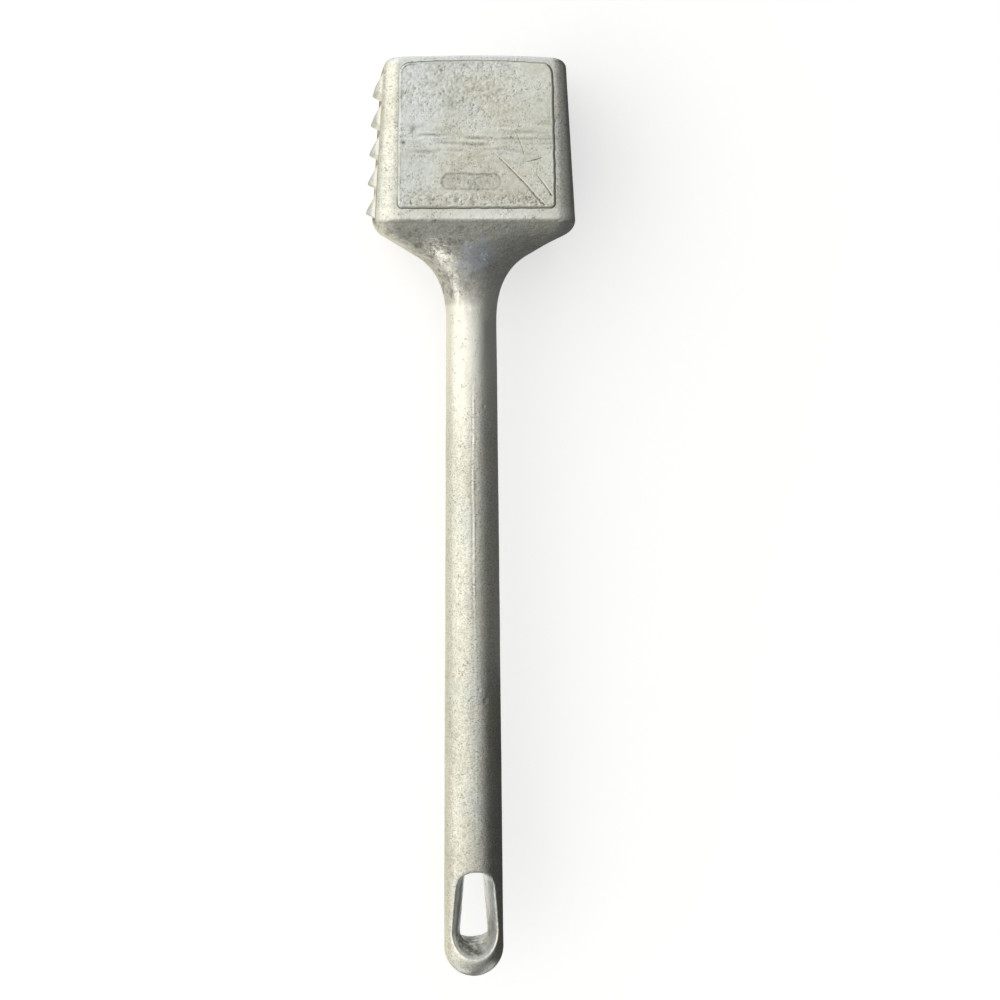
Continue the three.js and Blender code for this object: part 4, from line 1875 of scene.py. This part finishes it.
        # painted reflection: a blue tint on the walls, most on the left
        blue_reflection = wear.left_blue_reflection * left + right * wear.right_blue_reflection.at(level) + wear.low_blue_reflection * low
        return WearMarks(rise, np.maximum(grime_and_shade, 0), np.clip(shine, 0, 1), wall * np.clip(blue_reflection, 0, 1))

    def build(self) -> bpy.types.Object:
        """Makes the round end, with its eye cut, melted and worn."""
        mesh = self.cut_end()
        shape = self.melted(mesh)
        points = np.array([vertex.co[:] for vertex in shape.verts])
        normals = np.array([vertex.normal[:] for vertex in shape.verts])
        marks = self.marks(points, normals)
        points += normals * marks.rise[:, None]
        for vertex, place in zip(shape.verts, points):
            vertex.co = place
        shape.to_mesh(mesh)
        shape.free()
        mesh.name = self.name
        piece = linked(self.name, mesh)
        paint(piece, "grime_and_shade", marks.grime_and_shade)
        paint(piece, "blue_reflection", marks.blue_reflection)
        paint(piece, "shine", marks.shine)
        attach(piece, BODY)
        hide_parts("hanging_eye")
        return piece


class NodeBoard:
    """A short way to lay out the nodes of a material or world."""

    def __init__(self, tree: bpy.types.NodeTree) -> None:
        """Starts from an empty tree."""
        self.tree = tree
        tree.nodes.clear()

    def add(self, kind: str, settings: dict | None = None, **inputs: object) -> bpy.types.Node:
        """Adds a node.

        Args:
            kind: Blender's name for the node's type.
            settings: the node's own options.
            inputs: values or outputs for its inputs, with _ for a space, or as i0, i1 by place.

        Returns:
            The new node.
        """
        node = self.tree.nodes.new(kind)
        for key, value in (settings or {}).items():
            setattr(node, key, value)
        for key, value in inputs.items():
            place = int(key[1:]) if key[0] == "i" and key[1:].isdigit() else key.replace("_", " ")
            socket = node.inputs[place]
            if isinstance(value, bpy.types.NodeSocket):
                self.tree.links.new(value, socket)
            else:
                socket.default_value = value
        return node

    def math(self, operation: str, *values: object, clamp: bool = False) -> bpy.types.NodeSocket:
        """Adds a sum of two or three values and returns its result."""
        inputs = {f"i{number}": value for number, value in enumerate(values)}
        return self.add("ShaderNodeMath", {"operation": operation, "use_clamp": clamp}, **inputs).outputs[0]

    def ramp(self, share: bpy.types.NodeSocket, edge: Ease) -> bpy.types.NodeSocket:
        """Adds an easing and returns its result."""
        settings = {"interpolation_type": "SMOOTHSTEP"}
        limits = {"From_Min": edge.low, "From_Max": edge.high}
        return self.add("ShaderNodeMapRange", settings, Value=share, **limits).outputs[0]

    def noise(self, place: bpy.types.NodeSocket, cell: float, detail: float) -> bpy.types.NodeSocket:
        """Adds noise whose swells have the given size, and returns its value."""
        return self.add("ShaderNodeTexNoise", Vector=place, Scale=1 / cell, Detail=detail).outputs[0]

    def blend(self, share: object, first: object, colour: Colour) -> bpy.types.NodeSocket:
        """Adds a mix of what came before and a colour, and returns its result."""
        settings = {"data_type": "RGBA", "blend_type": "MIX"}
        return self.add("ShaderNodeMix", settings, i0=share, i6=first, i7=opaque(colour)).outputs[2]

    def painted(self, name: str) -> bpy.types.NodeSocket:
        """Adds a reading of the shares painted on a piece, and returns its value."""
        return self.add("ShaderNodeAttribute", {"attribute_name": name}).outputs["Fac"]


def opaque(colour: Colour) -> tuple[float, float, float, float]:
    """A colour with its alpha."""
    return (*colour, 1.0)


def new_material(name: str) -> tuple[bpy.types.Material, NodeBoard]:
    """Makes an empty material and the board that its nodes go on."""
    material = bpy.data.materials.new(name)
    material.use_nodes = True
    return material, NodeBoard(material.node_tree)


@dataclass(frozen=True)
class AluminiumFinish:
    """Cast aluminium as years of use and washing leave it, in one place of the mallet, with painted glints,
    and with the painted shade, painted highlights and painted blue reflection tint that the pieces carry.
    """

    slot: Slot
    bright: Colour = (0.86, 0.855, 0.81)
    dull: Colour = (0.73, 0.725, 0.65)
    dull_cell: float = 9 * MM
    dull_edge: Ease = Ease(0.35, 0.68)
    cool: Colour = (0.80, 0.84, 0.84)
    cool_cell: float = 17 * MM
    cool_edge: Ease = Ease(0.5, 0.72)
    cool_share: float = 0.8
    mottle: float = 0.3
    mottle_cell: float = 1.3 * MM
    mottle_edge: Ease = Ease(0.36, 0.7)
    mottle_tone: float = 0.6
    speckle: float = 0.35
    speckle_edge: Ease = Ease(0.44, 0.64)
    speckle_tone: float = 0.5
    glint: float = 0.35
    glint_cell: float = 0.45 * MM
    glint_edge: Ease = Ease(0.52, 0.68)
    glint_colour: Colour = (0.93, 0.93, 0.90)
    streak: tuple[float, float, float] = (1.0, 1.0, 1.0)
    pit_cell: float = 0.5 * MM
    pit_edge: Ease = Ease(0.58, 0.68)
    pit_cover: float = 0.25
    pit_group: float = 6.0
    pit_group_edge: Ease = Ease(0.62, 0.68)
    pit_tone: float = 0.3
    pit_depth: float = 0.05 * MM
    grain_depth: float = 0.04 * MM
    cold: Colour = (0.83, 0.89, 0.98)
    cold_share: float = 0.75
    rubbed_and_highlight: Colour = (0.97, 0.96, 0.93)
    rubbed_and_highlight_share: float = 0.8
    grime_and_shade: Colour = (0.14, 0.13, 0.10)
    grime_and_shade_share: float = 0.85
    rough_low: float = 0.26
    rough_high: float = 0.42
    rough_edge: Ease = Ease(0.3, 0.7)
    rough_grime: float = 0.25

    def toned(self, tone: float) -> Colour:
        """The bright colour, darkened."""
        return tuple(tone * part for part in self.bright)

    def material(self) -> bpy.types.Material:
        """Makes the finish's material."""
        material, board = new_material(self.slot.value)
        place = board.add("ShaderNodeTexCoord").outputs["Object"]
        drawn = board.add("ShaderNodeMapping", i0=place, Scale=self.streak).outputs[0]
        cloud = board.noise(drawn, self.dull_cell, detail=4)
        fine = board.noise(drawn, self.mottle_cell, detail=4)
        speck = board.noise(place, self.glint_cell, detail=2)
        colour = board.blend(board.ramp(cloud, self.dull_edge), opaque(self.bright), self.dull)
        cool = board.ramp(board.noise(place, self.cool_cell, detail=3), self.cool_edge)
        colour = board.blend(board.math("MULTIPLY", cool, self.cool_share), colour, self.cool)
        mottle = board.math("MULTIPLY", board.ramp(fine, self.mottle_edge), self.mottle)
        colour = board.blend(mottle, colour, self.toned(self.mottle_tone))
        dust = board.ramp(board.noise(place, self.pit_cell, detail=2), self.speckle_edge)
        dust = board.math("MULTIPLY", dust, self.speckle)
        colour = board.blend(dust, colour, self.toned(self.speckle_tone))
        # painted glints: light specks laid into the colour
        glint = board.math("MULTIPLY", board.ramp(speck, self.glint_edge), self.glint)
        colour = board.blend(glint, colour, self.glint_colour)
        pits = self.pits(board, place)
        dark = board.math("MULTIPLY", pits, self.pit_tone)
        dark = board.math("ADD", dark, board.painted("grime_and_shade"), clamp=True)
        # painted reflection: a blue tint where the pieces carry it
        blue_reflection = board.math("MULTIPLY", board.painted("blue_reflection"), self.cold_share)
        colour = board.blend(blue_reflection, colour, self.cold)
        # painted highlight, with bright worn metal in part: the colour brightens where the pieces carry
        # shine
        shine = board.math("MULTIPLY", board.painted("shine"), self.rubbed_and_highlight_share, clamp=True)
        colour = board.blend(shine, colour, self.rubbed_and_highlight)
        # the colour darkens in pits, in soil and in painted shade
        colour = board.blend(board.math("MULTIPLY", dark, self.grime_and_shade_share), colour, self.grime_and_shade)
        spread = self.rough_high - self.rough_low
        rough = board.math("MULTIPLY_ADD", board.ramp(cloud, self.rough_edge), spread, self.rough_low)
        rough = board.math("ADD", rough, board.math("MULTIPLY", dark, self.rough_grime))
        height = board.math("ADD", fine, speck)
        grain = board.add("ShaderNodeBump", Strength=1.0, Distance=self.grain_depth, Height=height)
        sunk = board.add(
            "ShaderNodeBump",
            {"invert": True},
            Strength=1.0,
            Distance=self.pit_depth,
            Height=pits,
            Normal=grain.outputs[0],
        ).outputs[0]
        metal = {"Base_Color": colour, "Metallic": 1.0, "Roughness": rough, "Normal": sunk}
        skin = board.add("ShaderNodeBsdfPrincipled", **metal)
        board.add("ShaderNodeOutputMaterial", Surface=skin.outputs[0])
        return material

    def pits(self, board: NodeBoard, place: bpy.types.NodeSocket) -> bpy.types.NodeSocket:
        """Adds the fine pits, which come in groups, and returns their shares."""
        edge = self.pit_group_edge
        cover = Ease(edge.low - self.pit_cover / 2, edge.high - self.pit_cover / 4)
        chosen = board.ramp(board.noise(place, self.pit_group * self.pit_cell, detail=2), cover)
        hole = board.ramp(board.noise(place, self.pit_cell, detail=1), self.pit_edge)
        return board.math("MULTIPLY", hole, chosen)


@dataclass(frozen=True)
class Card:
    """A studio card that only reflections show, as one set just outside a picture's edge, in mm. It glows
    in its own colour, dark or bright, and so gives the metal its shaded side and its highlights.
    """

    name: str
    across: Span
    along: Span
    up: Span
    colour: Colour

    def corners(self) -> Array:
        """The corners of a card that stands across the handle, or else lies or leans beside it."""
        (left, right), (near, far), (low, high) = self.across, self.along, self.up
        if near == far:
            corners = [(left, near, low), (right, near, low), (right, near, high), (left, near, high)]
        else:
            corners = [(left, near, low), (right, near, high), (right, far, high), (left, far, low)]
        return np.array(corners) * MM

    def build(self) -> None:
        """Makes the card."""
        card = mesh_object(self.name, self.corners(), [[0, 1, 2, 3]])
        material, board = new_material(self.name)
        glow = board.add("ShaderNodeEmission", Color=opaque(self.colour))
        board.add("ShaderNodeOutputMaterial", Surface=glow.outputs[0])
        card.data.materials.append(material)
        card.visible_camera = card.visible_diffuse = False
        card.visible_shadow = card.visible_transmission = card.visible_volume_scatter = False


DARK = (0.115, 0.117, 0.112)
CREAM = (0.84, 0.80, 0.66)
DEEP = (0.055, 0.055, 0.053)
FLOOR_LEVEL = (0.1, 0.1)
SIDE_HEIGHT = (0.1, 80)
NEAR_SIDE = (11, 42)
FAR_SIDE = (42, 62)
BY_TIP = (-300, -170)
BY_HANDLE = (-170, -26)
BY_HEAD = (-26, 60)
PAST_TIP = (-340, -262)
BEHIND_TIP = (-340, -340)
AT_NECK = (-47.6, -47.6)
OVER_NECK = (-47.5, -47.5)
FRONT_OF_NECK = (-47.4, -47.4)
HEAD_SIDE_TONES = (
    (0.1, 43, (0.085, 0.085, 0.083)),
    (43, 50, (0.13, 0.132, 0.126)),
    (50, 56, (0.19, 0.192, 0.18)),
    (56, 62, (0.27, 0.27, 0.25)),
    (62, 70, (0.35, 0.35, 0.32)),
    (70, 80, (0.41, 0.41, 0.38)),
)
STUDIO_CARDS = (
    Card("tip_foot", NEAR_SIDE, BY_TIP, FLOOR_LEVEL, DEEP),
    Card("tip_side", FAR_SIDE, BY_TIP, SIDE_HEIGHT, DEEP),
    Card("dark_foot", NEAR_SIDE, BY_HANDLE, FLOOR_LEVEL, DARK),
    Card("head_foot", NEAR_SIDE, BY_HEAD, FLOOR_LEVEL, DEEP),
    Card("end_foot", (-14, 11), PAST_TIP, FLOOR_LEVEL, DARK),
    Card("end_wall", (-10, 42), BEHIND_TIP, (0.1, 42), DARK),
    Card("neck_glow", (-13.5, -8.4), OVER_NECK, (29.5, 37.2), (0.7, 0.68, 0.6)),
    Card("neck_side", (-27, -9.6), OVER_NECK, (6, 29.4), (0.56, 0.54, 0.47)),
    Card("neck_gleam", (-12.6, -9.0), FRONT_OF_NECK, (32.4, 36), (2.4, 2.35, 2.15)),
    Card("dark_side", FAR_SIDE, BY_HANDLE, SIDE_HEIGHT, DARK),
    *(
        Card(f"head_side_{number}", (42, 42), BY_HEAD, (low, high), tone)
        for number, (low, high, tone) in enumerate(HEAD_SIDE_TONES)
    ),
    Card("cream_foot", (-170, -11), (-300, 60), FLOOR_LEVEL, CREAM),
    Card("neck_left", (-27, -9.5), AT_NECK, (0, 43.5), (0.255, 0.25, 0.228)),
    Card("neck_middle", (-9.5, 9.5), AT_NECK, (36.5, 43.5), (0.175, 0.175, 0.17)),
    Card("neck_right", (9.5, 42), AT_NECK, (0, 43.5), (0.122, 0.122, 0.117)),
)


@dataclass(frozen=True)
class Studio:
    """A pale floor and soft light from the left, with the camera over the mallet."""

    floor_size: float = 6.0
    floor_gap: float = 0.1 * MM
    floor_white: Colour = (0.78, 0.785, 0.83)
    floor_glow: float = 0.46
    sky: tuple[tuple[float, Colour], ...] = (
        (0.0, (1.25, 1.21, 1.04)),
        (0.16, (1.44, 1.40, 1.22)),
        (0.33, (1.12, 1.10, 1.0)),
        (0.48, (0.90, 0.90, 0.85)),
        (0.56, (0.80, 0.80, 0.745)),
        (0.68, (0.66, 0.66, 0.61)),
        (0.82, (0.29, 0.29, 0.27)),
        (0.93, (0.16, 0.16, 0.155)),
        (1.0, (0.11, 0.11, 0.11)),
    )
    sky_turn: float = -0.3
    sky_middle: float = 0.5
    near_fall: float = 0.45
    cards: tuple[Card, ...] = STUDIO_CARDS
    image_size: float = 1000.0
    focal_pixels: float = 1735.0
    sensor: float = 36.0
    pitch: float = math.radians(9.631)
    yaw: float = math.radians(5.11)
    roll: float = math.radians(-0.075)
    look: tuple[float, float, float] = (8.444 * MM, -105.73 * MM, 23.5 * MM)
    distance: float = 522.2 * MM
    nearest: float = 10 * MM

    def camera(self) -> None:
        """Sets the camera at the photograph's viewing angle."""
        data = bpy.data.cameras.new("camera")
        data.sensor_width = self.sensor
        data.lens = self.sensor * self.focal_pixels / self.image_size
        data.clip_start = self.nearest
        level = math.cos(self.yaw)
        back = Vector((-math.sin(self.yaw), math.sin(self.pitch) * level, math.cos(self.pitch) * level))
        right = Vector((0, 1, 0)).cross(back).normalized()
        up = back.cross(right)
        turned_right = right * math.cos(self.roll) + up * math.sin(self.roll)
        turned_up = up * math.cos(self.roll) - right * math.sin(self.roll)
        camera = bpy.data.objects.new("camera", data)
        turn = Matrix((turned_right, turned_up, back)).transposed().to_4x4()
        camera.matrix_world = Matrix.Translation(Vector(self.look) + back * self.distance) @ turn
        bpy.context.collection.objects.link(camera)
        bpy.context.scene.camera = camera

    def floor(self) -> None:
        """Lays the pale floor, which keeps the mallet's shadow."""
        half = self.floor_size / 2
        corners = np.array([(-half, -half, 0), (half, -half, 0), (half, half, 0), (-half, half, 0)])
        floor = mesh_object("floor", corners - np.array([0, 0, self.floor_gap]), [[0, 1, 2, 3]])
        material, board = new_material("pale_floor")
        path = board.add("ShaderNodeLightPath").outputs
        seen = board.math("ADD", path["Is Camera Ray"], path["Is Glossy Ray"], clamp=True)
        seen = board.math("ADD", seen, path["Is Transmission Ray"], clamp=True)
        cloth = board.add("ShaderNodeBsdfDiffuse", Color=opaque(self.floor_white))
        glow = board.add("ShaderNodeEmission", Strength=board.math("MULTIPLY", seen, self.floor_glow))
        both = board.add("ShaderNodeAddShader", i0=cloth.outputs[0], i1=glow.outputs[0])
        board.add("ShaderNodeOutputMaterial", Surface=both.outputs[0])
        floor.data.materials.append(material)

    def light(self) -> None:
        """Gives the soft light of a room with its windows on the left."""
        world = bpy.data.worlds.new("soft_light")
        world.use_nodes = True
        board = NodeBoard(world.node_tree)
        way = board.add("ShaderNodeTexCoord").outputs["Generated"]
        parts = board.add("ShaderNodeSeparateXYZ", i0=way).outputs
        behind = board.math("MINIMUM", parts[1], 0.0)
        across = board.math("ADD", parts[0], board.math("MULTIPLY", behind, self.sky_turn))
        share = board.math("MULTIPLY_ADD", across, 1 - self.sky_middle, self.sky_middle)
        ramp = board.add("ShaderNodeValToRGB", Fac=share)
        colours = ramp.color_ramp.elements
        while len(colours) < len(self.sky):
            colours.new(self.sky_middle)
        for element, (position, colour) in zip(colours, self.sky):
            element.position = position
            element.color = opaque(colour)
        low = board.math("MULTIPLY_ADD", behind, self.near_fall, 1.0)
        sky = board.add("ShaderNodeBackground", Color=ramp.outputs[0], Strength=low)
        board.add("ShaderNodeOutputWorld", Surface=sky.outputs[0])
        bpy.context.scene.world = world

    def build(self) -> None:
        """Sets up camera, floor, light and cards."""
        self.camera()
        self.floor()
        self.light()
        for card in self.cards:
            card.build()


PANEL_SCRATCHES = (
    Scratch((2.2 * MM, -1.6 * MM), (19.3 * MM, -18.6 * MM), 0.35 * MM, 0.2 * MM, 0.12 * MM, 0.12 * MM),
    Scratch((13.2 * MM, -12.5 * MM), (18.2 * MM, -18.0 * MM), 0.1 * MM, 0.15 * MM, 0.06 * MM, 0.05 * MM),
    Scratch((15.2 * MM, -8.2 * MM), (21.3 * MM, -16.0 * MM), 0.2 * MM, 0.18 * MM, 0.1 * MM, 0.1 * MM),
    Scratch((12.2 * MM, -6.2 * MM), (18.2 * MM, -5.1 * MM), -0.45 * MM, 0.15 * MM, 0.06 * MM, 0.0),
    Scratch((9.4 * MM, 5.2 * MM), (13.2 * MM, -4.4 * MM), 0.2 * MM, 0.1 * MM, 0.02 * MM, 0.02 * MM),
)
PANEL_SPOTS = (
    Spot(-17.7 * MM, 2.6 * MM, 0.7 * MM, 0.5),
    Spot(-18.2 * MM, 1.6 * MM, 0.4 * MM, 0.5),
    Spot(-20.3 * MM, -1.2 * MM, 0.5 * MM, 0.9),
    Spot(12.0 * MM, -16.3 * MM, 2.2 * MM, 0.16),
    Spot(-7.0 * MM, 10.0 * MM, 1.9 * MM, 0.18),
    Spot(-12.0 * MM, -18.2 * MM, 3.5 * MM, 0.12),
)
REAR_STEP = 0.35 * MM

CAST = AluminiumFinish(
    Slot.CAST_SKIN,
    bright=(0.85, 0.85, 0.82),
    dull=(0.73, 0.73, 0.67),
    speckle=0.5,
    grain_depth=0.07 * MM,
)
PANEL = AluminiumFinish(
    Slot.WORN_PANEL,
    bright=(0.86, 0.87, 0.83),
    dull=(0.76, 0.75, 0.66),
    pit_cover=0.4,
    speckle=0.18,
)
STRIKING = AluminiumFinish(
    Slot.STRIKING_SKIN,
    bright=(0.71, 0.725, 0.74),
    dull=(0.62, 0.63, 0.635),
)
RUBBED = AluminiumFinish(
    Slot.HAND_RUBBED,
    bright=(0.91, 0.905, 0.86),
    dull=(0.79, 0.785, 0.71),
    streak=(1.0, 0.35, 1.0),
    speckle=0.6,
)


def main() -> None:
    """Builds the mallet's sections, dresses them and lights them."""
    logging.basicConfig(level=logging.INFO, format="%(name)s: %(message)s")
    bpy.context.scene.view_settings.view_transform = "Standard"
    Studio().build()
    form = MalletForm()
    skin = CastingSkin(form)
    front = CheekPanel(
        form,
        Cheek.FRONT,
        "front_panel",
        "front_cheek_panel",
        recess=Recess(),
        scratches=PANEL_SCRATCHES,
        spots=PANEL_SPOTS,
    )
    rear = CheekPanel(form, Cheek.REAR, "rear_panel", "rear_cheek_panel", inner_step=REAR_STEP)
    sections = [
        (HeadBlock(skin), CAST),
        (Neck(skin), CAST),
        (HandleShank(skin), RUBBED),
        (HangingEye(form, skin), RUBBED),
        (PlainFace(skin), STRIKING),
        (ToothedFace(form, skin.relief), STRIKING),
        (front, PANEL),
        (rear, PANEL),
    ]
    materials: dict[Slot, bpy.types.Material] = {}
    for section, finish in sections:
        piece = section.build()
        if finish.slot not in materials:
            materials[finish.slot] = finish.material()
        piece.data.materials.clear()
        piece.data.materials.append(materials[finish.slot])
        LOG.info("%s: %d faces, finish %s", piece.name, len(piece.data.polygons), finish.slot.value)


if __name__ == "__main__":
    main()
